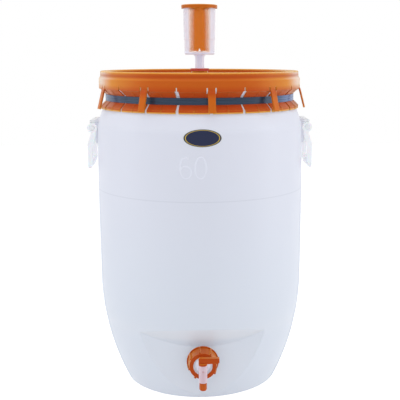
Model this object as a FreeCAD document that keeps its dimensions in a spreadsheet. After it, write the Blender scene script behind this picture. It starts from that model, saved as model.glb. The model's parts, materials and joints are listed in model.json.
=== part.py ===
import FreeCAD, Part

import os
import re
from math import acos, atan2, sqrt, tan

import Sketcher

# A 60 litre plastic fermenter: a blow-moulded barrel with a strapped lid, a bell airlock,
# two swinging handles and a drain tap in a recess at the front.
# The barrel stands on z = 0, its axis is the Z axis and the tap faces -Y. Lengths are in mm.

doc = FreeCAD.newDocument("fermenter")
sheet = doc.addObject("Spreadsheet::Sheet", "Sizes")

SIZES = {
    # Barrel, heights from the floor and drops from the mouth
    "foot_inset": 49.2,
    "heel_height": 210.0,
    "heel_taper": 0.9,
    "belly_height": 382.0,
    "belly_radius": 199.2,
    "upper_taper": 1.3,
    "mouth_height": 590.4,
    "shoulder_drop": 87.4,
    "shoulder_inset": 11.2,
    "shoulder_end_drop": 60.4,
    "shoulder_round": 25.0,
    "neck_drop": 44.4,
    "bead_inset": 9.3,
    "bead_drop": 18.4,
    "bead_slope": 9.0,
    "bead_round": 5.0,
    "wall": 4.0,
    "base_lift": 5.0,
    "base_ring_width": 20.0,
    "base_ring_slope": 8.0,
    # Recess for the tap
    "recess_inset": 45.6,
    "recess_top": 148.0,
    "recess_tilt": 16.0,
    "recess_slope": 33.0,
    # Handle lugs
    "hinge_offset": 5.6,
    "hinge_drop": 92.9,
    "pin_radius": 5.0,
    "pin_end": 43.5,
    "lug_half_width": 32.5,
    "lug_foot_drop": 30.0,
    "ledge_offset": 9.8,
    "ledge_half_width": 38.0,
    "ledge_gap": 1.2,
    "ledge_thickness": 4.5,
    "ledge_round": 1.6,
    # Handles
    "eye_radius": 9.0,
    "eye_fit": 0.08,
    "eye_side_gap": 0.5,
    "leg_width": 9.0,
    "leg_thickness": 9.0,
    "leg_root_offset": 2.0,
    "leg_foot_offset": 5.2,
    "upper_bend_drop": 13.5,
    "lower_bend_drop": 37.0,
    "handle_drop": 78.5,
    "grip_height": 18.0,
    "grip_round": 9.0,
    "leg_round": 16.0,
    # Lid
    "lid_sheet": 2.6,
    "gasket_thickness": 3.0,
    "gasket_width": 7.0,
    "rim_inset": 9.2,
    "rim_width": 8.0,
    "rim_height": 8.0,
    "rim_depth": 10.0,
    "skirt_offset": 3.0,
    "skirt_slope": 4.5,
    "skirt_length": 18.5,
    "skirt_lip": 2.6,
    "flap_count": 20.0,
    "flap_thickness": 2.2,
    "flap_flare": 9.8,
    "flap_foot": 5.5,
    "gap_azimuth": 5.3,
    "gap_top_width": 6.6,
    "gap_strap_width": 4.0,
    "gap_foot_width": 5.4,
    "slot_width": 2.2,
    "slot_height": 7.5,
    "tab_count": 10.0,
    "tab_width": 13.0,
    "tab_thickness": 2.6,
    "tab_kick": 2.0,
    "tab_offset": 10.8,
    "tab_length": 35.0,
    "rib_width": 1.8,
    "rib_proud": 0.7,
    # Strap and its worm-drive clamp
    "strap_thickness": 0.8,
    "strap_width": 12.0,
    "strap_inset": 18.2,
    "strap_drop": 35.4,
    "strap_seat": 0.3,
    "strap_fit": 0.05,
    "strap_tail_angle": 22.0,
    "strap_slot_count": 16.0,
    "strap_slot_pitch": 1.0,
    "clamp_azimuth": 167.3,
    "worm_radius": 4.1,
    "worm_length": 13.0,
    "worm_fit": 0.08,
    "screw_gap": 0.5,
    "screw_head_radius": 4.4,
    "screw_head_length": 6.0,
    "screw_slot_width": 1.2,
    "screw_slot_depth": 2.0,
    "housing_length": 15.0,
    "housing_wall": 1.2,
    "housing_chamfer": 1.4,
    # Airlock
    "turret_radius": 16.0,
    "turret_height": 7.0,
    "grommet_radius": 18.3,
    "grommet_height": 5.0,
    "grommet_neck_radius": 12.0,
    "grommet_lip": 3.0,
    "stem_radius": 8.8,
    "stem_bore_radius": 5.0,
    "stem_reach_below": 12.0,
    "stem_length": 23.0,
    "collar_radius": 10.5,
    "collar_height": 3.0,
    "cup_floor_radius": 28.9,
    "cup_step_height": 27.0,
    "cup_top_radius": 30.9,
    "cup_height": 91.0,
    "cup_wall": 1.6,
    "cup_round": 3.5,
    "chimney_radius": 6.8,
    "chimney_height": 56.0,
    "cap_fit": 1.6,
    "cap_depth": 6.4,
    "cap_dome": 2.4,
    "cap_wall": 1.8,
    "bell_radius": 20.0,
    "bell_top_radius": 18.8,
    "bell_flare": 5.0,
    "bell_floor_gap": 5.4,
    "bell_notch_count": 6.0,
    "bell_notch_height": 6.0,
    "bell_notch_width": 6.0,
    # Tap, offsets measured outwards from the barrel
    "tap_height": 75.6,
    "spigot_radius": 22.0,
    "spigot_bore_radius": 16.0,
    "thread_gap": 0.3,
    "nut_back_gap": 6.4,
    "nut_length": 26.5,
    "nut_flange_radius": 29.6,
    "nut_flange_thickness": 3.0,
    "nut_root_radius": 27.2,
    "nut_front_radius": 24.6,
    "nut_front_wall": 2.5,
    "nut_hole_radius": 17.6,
    "nut_rib_count": 8.0,
    "nut_rib_width": 3.4,
    "nut_rib_azimuth": 12.0,
    "tap_gasket_thickness": 2.0,
    "tap_flange_radius": 21.0,
    "tap_flange_thickness": 3.0,
    "tap_neck_radius": 5.9,
    "tap_bore_radius": 4.6,
    "tube_offset": 8.9,
    "tube_radius": 7.6,
    "tube_foot": 26.0,
    "tube_head": 6.0,
    "peep_hole_radius": 1.25,
    "peep_hole_drop": 4.0,
    "plug_radius": 5.9,
    "plug_fit": 0.08,
    "plug_gap": 0.3,
    "plug_bore_radius": 4.0,
    "plug_window_radius": 3.4,
    "plug_bore_margin": 1.2,
    "spout_radius": 6.4,
    "spout_length": 15.0,
    "plug_collar_radius": 7.9,
    "plug_collar_height": 3.6,
    "lever_reach": 29.7,
    "lever_depth": 8.0,
    "lever_height": 10.4,
    "lever_round": 2.0,
    # Label
    "label_width": 69.0,
    "label_height": 32.0,
    "label_offset": 1.7,
    "label_drop": 96.9,
    "label_thickness": 0.3,
    "label_gap": 0.02,
}

for row, (alias, value) in enumerate(SIZES.items(), start=1):
    sheet.set(f"A{row}", alias)
    sheet.set(f"B{row}", str(value))
    sheet.setAlias(f"B{row}", alias)
doc.recompute()

ALIAS = re.compile("|".join(rf"\b{alias}\b" for alias in SIZES))

# Derived places, written with the names of the sizes
FOOT_RADIUS = "(belly_radius - foot_inset)"
HEEL_RADIUS = "(belly_radius - heel_taper)"
UPPER_RADIUS = "(belly_radius - upper_taper)"
SHOULDER_RADIUS = "(belly_radius - shoulder_inset)"
BEAD_RADIUS = "(belly_radius - bead_inset)"
RECESS_REACH = "(belly_radius - recess_inset)"
HINGE_REACH = "(belly_radius + hinge_offset)"
LEDGE_REACH = "(belly_radius + ledge_offset)"
RIM_RADIUS = "(belly_radius - rim_inset)"
SKIRT_RADIUS = f"({RIM_RADIUS} + skirt_offset)"
TAB_REACH = f"({SKIRT_RADIUS} + tab_offset)"
STRAP_RADIUS = "(belly_radius - strap_inset)"
CAP_RADIUS = "(cup_top_radius + cap_fit + cap_wall)"
HEEL_ARC = f"((heel_height^2 + ({HEEL_RADIUS} - {FOOT_RADIUS})^2) / (2 * ({HEEL_RADIUS} - {FOOT_RADIUS})))"
NECK_RADIUS = f"({STRAP_RADIUS} - strap_thickness - strap_fit - flap_thickness - strap_seat)"
STRAP_INSIDE = f"({STRAP_RADIUS} - strap_thickness)"
FLAP_RADIUS = f"({STRAP_INSIDE} - strap_fit)"
PANEL_UNDER = "(mouth_height + gasket_thickness)"
PANEL_TOP = f"({PANEL_UNDER} + lid_sheet)"
RIM_TOP = f"({PANEL_TOP} + rim_height)"
SKIRT_TOP = f"({RIM_TOP} - rim_depth - skirt_slope)"
SKIRT_FOOT = f"({SKIRT_TOP} - skirt_length)"
STRAP_MIDDLE = "(mouth_height - strap_drop)"
STRAP_TOP = f"({STRAP_MIDDLE} + strap_width / 2)"
STRAP_FOOT = f"({STRAP_MIDDLE} - strap_width / 2)"
FLAP_FOOT = f"({STRAP_FOOT} - flap_flare - flap_foot)"
HINGE_HEIGHT = "(mouth_height - hinge_drop)"
LEDGE_FOOT = f"({HINGE_HEIGHT} + eye_radius + ledge_gap)"
TURRET_TOP = f"({PANEL_TOP} + turret_height)"
GROMMET_TOP = f"({TURRET_TOP} + grommet_height)"
CUP_FLOOR = f"({GROMMET_TOP} + stem_length + collar_height)"
CUP_TOP = f"({CUP_FLOOR} + cup_height)"
NUT_BACK = f"({RECESS_REACH} + nut_back_gap)"
NUT_FRONT = f"({NUT_BACK} + nut_length)"
FLANGE_FRONT = f"({NUT_FRONT} - nut_front_wall)"
FLANGE_BACK = f"({FLANGE_FRONT} - tap_flange_thickness)"
SPIGOT_END = f"({FLANGE_BACK} - tap_gasket_thickness)"
TUBE_REACH = f"({NUT_FRONT} + tube_offset)"
WORM_AXIS = f"({STRAP_RADIUS} + strap_thickness + worm_radius + screw_gap)"


def bound(text):
    """An expression with each size's name led by the sheet's."""
    return ALIAS.sub(lambda found: "Sizes." + found.group(0), str(text))


def number(text):
    """The present value of an expression."""
    value = sheet.evalExpression(bound(text))
    return float(getattr(value, "Value", value))


def bind(thing, path, text):
    thing.setExpression(path, bound(text))


def new_body(label):
    body = doc.addObject("PartDesign::Body", label)
    body.Label = label
    return body


def origin_feature(body, role):
    return next(part for part in body.Origin.OriginFeatures if part.Role == role)


def new_sketch(body, name, plane, height="0", turn="0"):
    """A sketch on one of the body's planes, raised along its normal and turned about the upright axis."""
    sketch = body.newObject("Sketcher::SketchObject", name)
    sketch.AttachmentSupport = [(origin_feature(body, plane), "")]
    sketch.MapMode = "FlatFace"
    sketch.AttachmentOffset = FreeCAD.Placement(
        FreeCAD.Vector(0, 0, number(height)), FreeCAD.Rotation(FreeCAD.Vector(0, 1, 0), number(turn))
    )
    bind(sketch, "AttachmentOffset.Base.z", height)
    if turn != "0":
        bind(sketch, "AttachmentOffset.Rotation.Angle", turn)
    return sketch


def constrain(sketch, expression, *arguments):
    """A constraint whose value is bound to an expression."""
    index = sketch.addConstraint(Sketcher.Constraint(*arguments, number(expression)))
    bind(sketch, f"Constraints[{index}]", expression)


def place_point(sketch, geometry, position, across, up):
    constrain(sketch, across, "DistanceX", -1, 1, geometry, position)
    constrain(sketch, up, "DistanceY", -1, 1, geometry, position)


def add_circle(sketch, across, up, radius):
    centre = FreeCAD.Vector(number(across), number(up), 0)
    circle = sketch.addGeometry(Part.Circle(centre, FreeCAD.Vector(0, 0, 1), number(radius)))
    constrain(sketch, radius, "Radius", circle)
    place_point(sketch, circle, 3, across, up)


def add_ellipse(sketch, across, up, half_width, half_height):
    centre = FreeCAD.Vector(number(across), number(up), 0)
    major = centre + FreeCAD.Vector(number(half_width), 0, 0)
    minor = centre + FreeCAD.Vector(0, number(half_height), 0)
    ellipse = sketch.addGeometry(Part.Ellipse(major, minor, centre))
    sketch.exposeInternalGeometry(ellipse)
    place_point(sketch, ellipse, 3, across, up)
    long_axis, short_axis = ellipse + 1, ellipse + 2
    sketch.addConstraint(Sketcher.Constraint("Horizontal", long_axis))
    constrain(sketch, f"2 * ({half_width})", "Distance", long_axis)
    constrain(sketch, f"2 * ({half_height})", "Distance", short_axis)


def arc_between(start, end, radius, side):
    """The minor arc between two points. Side 1 bulges to the right of the way from start to end."""
    chord = end - start
    half = chord.Length / 2
    across = FreeCAD.Vector(chord.y, -chord.x, 0) * (side / chord.Length)
    centre = (start + end) * 0.5 - across * sqrt(radius * radius - half * half)
    first, second = (start, end) if side > 0 else (end, start)
    circle = Part.Circle(centre, FreeCAD.Vector(0, 0, 1), radius)
    from_angle = atan2(first.y - centre.y, first.x - centre.x)
    to_angle = atan2(second.y - centre.y, second.x - centre.x)
    return Part.ArcOfCircle(circle, from_angle, to_angle)


def add_outline(sketch, corners):
    """A closed outline.

    Each corner is (across, up), (across, up, rounding radius) or, where an arc runs from it to the
    next corner, (across, up, arc radius, side).
    """
    places = [FreeCAD.Vector(number(corner[0]), number(corner[1]), 0) for corner in corners]
    count = len(corners)
    leaving = list(places)
    arriving = list(places)
    rounds = {}
    for index, corner in enumerate(corners):
        if len(corner) != 3:
            continue
        here = places[index]
        back = (places[index - 1] - here).normalize()
        ahead = (places[(index + 1) % count] - here).normalize()
        turn = acos(-back.dot(ahead))
        reach = number(corner[2]) * tan(turn / 2)
        arriving[index] = here + back * reach
        leaving[index] = here + ahead * reach
        side = 1 if back.x * ahead.y - back.y * ahead.x < 0 else -1
        rounds[index] = (arc_between(arriving[index], leaving[index], number(corner[2]), side), side)
    sides = []
    for index, corner in enumerate(corners):
        start = leaving[index]
        end = arriving[(index + 1) % count]
        if len(corner) == 4:
            edge = sketch.addGeometry(arc_between(start, end, number(corner[2]), corner[3]))
            constrain(sketch, corner[2], "Radius", edge)
            sides.append((edge, 1, 2) if corner[3] > 0 else (edge, 2, 1))
        else:
            sides.append((sketch.addGeometry(Part.LineSegment(start, end)), 1, 2))
    for index, corner in enumerate(corners):
        before = sides[index - 1]
        after = sides[index]
        if index not in rounds:
            meeting = Sketcher.Constraint("Coincident", before[0], before[2], after[0], after[1])
            sketch.addConstraint(meeting)
            place_point(sketch, after[0], after[1], corner[0], corner[1])
            continue
        curve, side = rounds[index]
        arc = sketch.addGeometry(curve)
        first, last = (1, 2) if side > 0 else (2, 1)
        sketch.addConstraint(Sketcher.Constraint("Tangent", before[0], before[2], arc, first))
        sketch.addConstraint(Sketcher.Constraint("Tangent", arc, last, after[0], after[1]))
        constrain(sketch, corner[2], "Radius", arc)
        point = sketch.addGeometry(Part.Point(places[index]), True)
        sketch.addConstraint(Sketcher.Constraint("PointOnObject", point, 1, before[0]))
        sketch.addConstraint(Sketcher.Constraint("PointOnObject", point, 1, after[0]))
        place_point(sketch, point, 1, corner[0], corner[1])


def box_corners(left, right, low, high, radius=None):
    corners = [(left, low), (right, low), (right, high), (left, high)]
    return [corner + (radius,) for corner in corners] if radius else corners


def revolve(body, sketch, angle="360"):
    feature = body.newObject("PartDesign::Revolution", sketch.Name + "_turned")
    feature.Profile = sketch
    feature.ReferenceAxis = (sketch, ["V_Axis"])
    bind(feature, "Angle", angle)
    return feature


def pad(body, sketch, length, symmetric=False, backwards=False):
    feature = body.newObject("PartDesign::Pad", sketch.Name + "_raised")
    feature.Profile = sketch
    feature.SideType = "Symmetric" if symmetric else "One side"
    feature.Reversed = backwards
    bind(feature, "Length", length)
    return feature


def pocket(body, sketch, length, symmetric=False, outwards=False):
    """A cut from the sketch, against its normal, or along it when outwards."""
    doc.recompute()
    before = body.Shape.Volume
    feature = body.newObject("PartDesign::Pocket", sketch.Name + "_cut")
    feature.Profile = sketch
    feature.SideType = "Symmetric" if symmetric else "One side"
    feature.Reversed = outwards
    bind(feature, "Length", length)
    doc.recompute()
    if not body.Shape.Volume < before:
        raise RuntimeError(sketch.Name + " cuts nothing")
    return feature


def polar(body, originals, count):
    feature = body.newObject("PartDesign::PolarPattern", originals[0].Name + "_round")
    feature.Originals = originals
    feature.Axis = (origin_feature(body, "Z_Axis"), [""])
    feature.Angle = 360
    bind(feature, "Occurrences", count)
    body.Tip = feature
    return feature


def mirror_across(body, originals):
    feature = body.newObject("PartDesign::Mirrored", originals[0].Name + "_mirrored")
    feature.Originals = originals
    feature.MirrorPlane = (origin_feature(body, "YZ_Plane"), [""])
    body.Tip = feature
    return feature


def boolean(kind, label, base, tool):
    """A Part::Cut, Part::Fuse or Part::Common of two objects."""
    result = doc.addObject("Part::" + kind, label)
    result.Label = label
    result.Base = base
    result.Tool = tool
    return result


def face_outwards(body):
    """Turn a body whose own Z axis is the tap's, so that it points away from the barrel."""
    body.Placement = FreeCAD.Placement(
        FreeCAD.Vector(0, 0, number("tap_height")), FreeCAD.Rotation(FreeCAD.Vector(1, 0, 0), 90)
    )
    bind(body, "Placement.Base.z", "tap_height")


def lean_forwards(body, height, angle):
    """Raise a body and lean it about the X axis, so that its front comes up."""
    body.Placement = FreeCAD.Placement(
        FreeCAD.Vector(0, 0, number(height)), FreeCAD.Rotation(FreeCAD.Vector(-1, 0, 0), number(angle))
    )
    bind(body, "Placement.Base.z", height)
    bind(body, "Placement.Rotation.Angle", angle)


def turn_to(body, azimuth):
    """Turn a body about the barrel's axis. Azimuth 0 is the front and 90 is +X."""
    body.Placement = FreeCAD.Placement(
        FreeCAD.Vector(0, 0, 0), FreeCAD.Rotation(FreeCAD.Vector(0, 0, 1), number(azimuth))
    )
    bind(body, "Placement.Rotation.Angle", azimuth)


def make_barrel_outside():
    body = new_body("barrel_outside")
    shell = new_sketch(body, "barrel_outline", "XZ_Plane")
    ring_inside = f"({FOOT_RADIUS} - base_ring_width)"
    add_outline(shell, [
        ("0", "base_lift"),
        (f"{ring_inside} - base_ring_slope", "base_lift"),
        (ring_inside, "0"),
        (FOOT_RADIUS, "0", HEEL_ARC, 1),
        (HEEL_RADIUS, "heel_height"),
        ("belly_radius", "belly_height"),
        (UPPER_RADIUS, "mouth_height - shoulder_drop", "shoulder_round"),
        (SHOULDER_RADIUS, "mouth_height - shoulder_end_drop", "shoulder_round / 2"),
        (NECK_RADIUS, "mouth_height - neck_drop", "bead_round"),
        (NECK_RADIUS, "mouth_height - bead_drop - bead_slope"),
        (BEAD_RADIUS, "mouth_height - bead_drop"),
        (BEAD_RADIUS, "mouth_height", "bead_round"),
        ("0", "mouth_height"),
    ])
    revolve(body, shell)
    ledge = new_sketch(body, "ledge_outline", "XZ_Plane")
    add_outline(ledge, [
        (f"{NECK_RADIUS}", LEDGE_FOOT),
        (LEDGE_REACH, LEDGE_FOOT, "ledge_round"),
        (LEDGE_REACH, f"{LEDGE_FOOT} + ledge_thickness", "ledge_round"),
        (f"{NECK_RADIUS}", f"{LEDGE_FOOT} + ledge_thickness"),
    ])
    ledge_pad = pad(body, ledge, "2 * ledge_half_width", symmetric=True)
    lug = new_sketch(body, "lug_outline", "XZ_Plane")
    add_outline(lug, [
        (f"{NECK_RADIUS}", f"{HINGE_HEIGHT} - lug_foot_drop"),
        (UPPER_RADIUS, f"{HINGE_HEIGHT} - lug_foot_drop"),
        (f"{HINGE_REACH} + pin_radius", f"{HINGE_HEIGHT} - pin_radius", "pin_radius"),
        (f"{HINGE_REACH} + pin_radius", f"{LEDGE_FOOT} + ledge_thickness / 2"),
        (f"{NECK_RADIUS}", f"{LEDGE_FOOT} + ledge_thickness / 2"),
    ])
    lug_pad = pad(body, lug, "2 * lug_half_width", symmetric=True)
    pin = new_sketch(body, "pin_outline", "XZ_Plane")
    add_circle(pin, HINGE_REACH, HINGE_HEIGHT, "pin_radius")
    pin_pad = pad(body, pin, "2 * pin_end", symmetric=True)
    mirror_across(body, [ledge_pad, lug_pad, pin_pad])
    return body


def make_barrel_inside():
    body = new_body("barrel_inside")
    hollow = new_sketch(body, "hollow_outline", "XZ_Plane")
    ring_inside = f"({FOOT_RADIUS} - base_ring_width)"
    inner_arc = f"({HEEL_ARC} - wall)"
    arc_foot = f"({HEEL_RADIUS} - {HEEL_ARC} + sqrt({inner_arc}^2 - (heel_height - wall)^2))"
    add_outline(hollow, [
        ("0", "base_lift + wall"),
        (ring_inside, "base_lift + wall"),
        (f"{ring_inside} + base_ring_slope", "wall"),
        (arc_foot, "wall", inner_arc, 1),
        (f"{HEEL_RADIUS} - wall", "heel_height"),
        ("belly_radius - wall", "belly_height"),
        (f"{UPPER_RADIUS} - wall", "mouth_height - shoulder_drop", "shoulder_round"),
        (f"{SHOULDER_RADIUS} - wall", "mouth_height - shoulder_end_drop", "shoulder_round / 2"),
        (f"{NECK_RADIUS} - wall", "mouth_height - neck_drop", "bead_round"),
        (f"{NECK_RADIUS} - wall", "mouth_height + wall"),
        ("0", "mouth_height + wall"),
    ])
    revolve(body, hollow)
    return body


def make_recess(label, inset):
    """The space of the tap recess: below a cone that leans forwards and before a flat, both set in by inset."""
    wall_radius = f"({HEEL_RADIUS} - {HEEL_ARC} + sqrt({HEEL_ARC}^2 - (heel_height - recess_top)^2))"
    rim = f"({wall_radius} / cos(recess_tilt))"
    far = "(2 * belly_radius)"
    near = f"({FOOT_RADIUS} / 2)"
    lift = f"(({inset}) / cos(recess_slope))"
    body = new_body(label + "_cone")
    lean_forwards(body, f"recess_top - {wall_radius} * tan(recess_tilt)", "recess_tilt")
    sketch = new_sketch(body, label + "_outline", "XZ_Plane")
    add_outline(sketch, [
        (near, "-2 * recess_top"),
        (far, "-2 * recess_top"),
        (far, lift),
        (rim, lift),
        (near, f"{lift} - ({rim} - {near}) * tan(recess_slope)"),
    ])
    revolve(body, sketch)
    block = doc.addObject("Part::Box", label + "_block")
    bind(block, "Length", "4 * belly_radius")
    bind(block, "Width", "2 * belly_radius")
    bind(block, "Height", "4 * recess_top")
    block.Placement = FreeCAD.Placement()
    bind(block, "Placement.Base.x", "-2 * belly_radius")
    bind(block, "Placement.Base.y", f"-2 * belly_radius - {RECESS_REACH} + ({inset})")
    bind(block, "Placement.Base.z", "-2 * recess_top")
    return boolean("Common", label, body, block)


def make_spigot():
    """The threaded neck that the tap's nut screws onto, from inside the wall outwards."""
    body = new_body("spigot")
    face_outwards(body)
    ring = new_sketch(body, "spigot_outline", "XY_Plane", f"{RECESS_REACH} - wall / 2")
    add_circle(ring, "0", "0", "spigot_radius")
    pad(body, ring, f"{SPIGOT_END} - {RECESS_REACH} + wall / 2")
    return body


def make_spigot_bore():
    body = new_body("spigot_bore")
    face_outwards(body)
    bore = new_sketch(body, "spigot_bore_outline", "XY_Plane", f"{RECESS_REACH} - 3 * wall")
    add_circle(bore, "0", "0", "spigot_bore_radius")
    pad(body, bore, f"{SPIGOT_END} - {RECESS_REACH} + 4 * wall")
    return body


def make_barrel():
    outside = boolean("Cut", "barrel_recessed", make_barrel_outside(), make_recess("recess", "0"))
    with_spigot = boolean("Fuse", "barrel_with_spigot", outside, make_spigot())
    inside = boolean("Cut", "hollow_recessed", make_barrel_inside(), make_recess("recess_back", "wall"))
    hollowed = boolean("Cut", "barrel_hollowed", with_spigot, inside)
    return boolean("Cut", "barrel", hollowed, make_spigot_bore())


def flap_face(proud="0"):
    """The outer face of a flap, from the skirt's foot down to its free edge, moved out by proud."""
    return [
        (f"{SKIRT_RADIUS} - skirt_lip + {proud}", f"{SKIRT_FOOT} - skirt_lip / 4"),
        (f"{FLAP_RADIUS} + {proud}", f"{STRAP_TOP} + strap_seat"),
        (f"{FLAP_RADIUS} + {proud}", f"{STRAP_FOOT} - strap_seat"),
        (f"{FLAP_RADIUS} + flap_flare + {proud}", f"{STRAP_FOOT} - flap_flare"),
        (f"{FLAP_RADIUS} + flap_flare + {proud}", FLAP_FOOT),
    ]


def make_lid():
    body = new_body("lid")
    turn_to(body, "gap_azimuth")
    section = new_sketch(body, "lid_outline", "XZ_Plane")
    rim_inside = f"({RIM_RADIUS} - rim_width)"
    channel_top = f"({RIM_TOP} - lid_sheet)"
    flap_inside = f"({FLAP_RADIUS} - flap_thickness)"
    add_outline(section, [
        ("grommet_neck_radius", f"{TURRET_TOP} - lid_sheet"),
        ("turret_radius - lid_sheet", f"{TURRET_TOP} - lid_sheet"),
        ("turret_radius - lid_sheet", PANEL_UNDER),
        (f"{rim_inside} + lid_sheet", PANEL_UNDER),
        (f"{rim_inside} + lid_sheet", channel_top),
        (f"{RIM_RADIUS} - lid_sheet", channel_top),
        (f"{RIM_RADIUS} - lid_sheet", f"{SKIRT_TOP} + skirt_slope - lid_sheet / 2"),
        (f"{SKIRT_RADIUS} - lid_sheet", f"{SKIRT_TOP} - lid_sheet / 2"),
        (f"{SKIRT_RADIUS} - lid_sheet", f"{SKIRT_FOOT} + lid_sheet / 2"),
        (flap_inside, f"{STRAP_TOP} + strap_seat + flap_thickness / 2"),
        (flap_inside, f"{STRAP_FOOT} - strap_seat - flap_thickness / 2"),
        (f"{flap_inside} + flap_flare", f"{STRAP_FOOT} - flap_flare - flap_thickness / 2"),
        (f"{flap_inside} + flap_flare", FLAP_FOOT),
        *reversed(flap_face()),
        (SKIRT_RADIUS, f"{SKIRT_FOOT} + skirt_lip / 4", "skirt_lip / 4"),
        (SKIRT_RADIUS, SKIRT_TOP, "lid_sheet"),
        (RIM_RADIUS, f"{SKIRT_TOP} + skirt_slope", "lid_sheet"),
        (RIM_RADIUS, RIM_TOP, "lid_sheet"),
        (rim_inside, RIM_TOP, "lid_sheet"),
        (rim_inside, PANEL_TOP, "lid_sheet"),
        ("turret_radius", PANEL_TOP, "lid_sheet"),
        ("turret_radius", TURRET_TOP),
        ("grommet_neck_radius", TURRET_TOP),
    ])
    revolve(body, section)
    rib = new_sketch(body, "rib_outline", "YZ_Plane", turn="180 / flap_count")
    for first, last in ((0, 2), (2, 5)):
        front = [(f"-({across})", up) for across, up in flap_face("rib_proud")[first:last]]
        back = [(f"-({across})", up) for across, up in flap_face("-rib_proud")[first:last]]
        add_outline(rib, front + back[::-1])
    rib_pad = pad(body, rib, "rib_width", symmetric=True)
    polar(body, [rib_pad], "flap_count")
    gap = new_sketch(body, "gap_outline", "XZ_Plane")
    add_outline(gap, [
        ("-gap_top_width / 2", f"{SKIRT_FOOT} + skirt_lip / 2"),
        ("-gap_top_width / 2", STRAP_TOP),
        ("-gap_strap_width / 2", STRAP_FOOT),
        ("-gap_foot_width / 2", f"{FLAP_FOOT} - strap_seat"),
        ("gap_foot_width / 2", f"{FLAP_FOOT} - strap_seat"),
        ("gap_strap_width / 2", STRAP_FOOT),
        ("gap_top_width / 2", STRAP_TOP),
        ("gap_top_width / 2", f"{SKIRT_FOOT} + skirt_lip / 2"),
    ])
    gap_cut = pocket(body, gap, f"2 * {SKIRT_RADIUS}", outwards=True)
    polar(body, [gap_cut], "flap_count")
    slot = new_sketch(body, "slot_outline", "XZ_Plane", turn="360 / flap_count")
    add_outline(slot, box_corners(
        "-slot_width / 2", "slot_width / 2", f"{SKIRT_FOOT} - skirt_lip", f"{SKIRT_FOOT} + slot_height"
    ))
    slot_cut = pocket(body, slot, f"2 * {SKIRT_RADIUS}", outwards=True)
    polar(body, [slot_cut], "tab_count")
    relief = new_sketch(body, "relief_outline", "XZ_Plane")
    for side in ("-", ""):
        near = f"{side}(tab_width / 2)"
        away = f"{side}(tab_width / 2 + slot_width)"
        add_outline(relief, box_corners(
            near, away, f"{SKIRT_FOOT} - skirt_lip", f"{SKIRT_FOOT} + slot_height"
        ))
    relief_cut = pocket(body, relief, f"2 * {SKIRT_RADIUS}", outwards=True)
    polar(body, [relief_cut], "tab_count")
    tab = new_sketch(body, "tab_outline", "YZ_Plane")
    tab_foot = f"({SKIRT_FOOT} - tab_length)"
    add_outline(tab, [
        (f"-({SKIRT_RADIUS})", f"{SKIRT_FOOT} + tab_thickness"),
        (f"-({SKIRT_RADIUS} + tab_kick)", f"{SKIRT_FOOT} - tab_kick / 2"),
        (f"-({TAB_REACH})", f"{tab_foot}"),
        (f"-({TAB_REACH} - tab_thickness)", f"{tab_foot} - tab_kick / 4"),
        (f"-({SKIRT_RADIUS} + tab_kick - tab_thickness)", f"{SKIRT_FOOT} - tab_kick"),
        (f"-({SKIRT_RADIUS} - tab_thickness)", f"{SKIRT_FOOT} + tab_thickness / 2"),
    ])
    tab_pad = pad(body, tab, "tab_width", symmetric=True)
    polar(body, [tab_pad], "tab_count")
    return body


def make_lid_gasket():
    body = new_body("lid_gasket")
    section = new_sketch(body, "lid_gasket_outline", "XZ_Plane")
    outer = f"({RIM_RADIUS} - rim_width + lid_sheet)"
    add_outline(section, box_corners(
        f"{outer} - gasket_width", outer, "mouth_height", PANEL_UNDER, "gasket_thickness / 5"
    ))
    revolve(body, section)
    return body


def make_strap():
    body = new_body("strap")
    turn_to(body, "clamp_azimuth")
    band = new_sketch(body, "band_outline", "XZ_Plane")
    add_outline(band, box_corners(STRAP_INSIDE, STRAP_RADIUS, STRAP_FOOT, STRAP_TOP))
    revolve(body, band)
    tail = new_sketch(body, "tail_outline", "XZ_Plane", turn="-90 - strap_tail_angle / 3")
    add_outline(tail, box_corners(
        f"{STRAP_RADIUS} - strap_thickness / 2", f"{STRAP_RADIUS} + strap_thickness", STRAP_FOOT, STRAP_TOP
    ))
    revolve(body, tail, "strap_tail_angle")
    slot = new_sketch(body, "strap_slot_outline", "XZ_Plane", turn="strap_tail_angle / 4")
    add_outline(slot, [
        ("-strap_thickness / 2 - strap_width / 16", f"{STRAP_MIDDLE} - strap_width / 4"),
        ("strap_thickness / 2 - strap_width / 16", f"{STRAP_MIDDLE} - strap_width / 4"),
        ("strap_thickness / 2 + strap_width / 16", f"{STRAP_MIDDLE} + strap_width / 4"),
        ("-strap_thickness / 2 + strap_width / 16", f"{STRAP_MIDDLE} + strap_width / 4"),
    ])
    slot_cut = pocket(body, slot, f"2 * {STRAP_RADIUS}", outwards=True)
    row = polar(body, [slot_cut], "strap_slot_count")
    row.Angle = number("strap_slot_pitch * (strap_slot_count - 1)")
    bind(row, "Angle", "strap_slot_pitch * (strap_slot_count - 1)")
    return body


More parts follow.
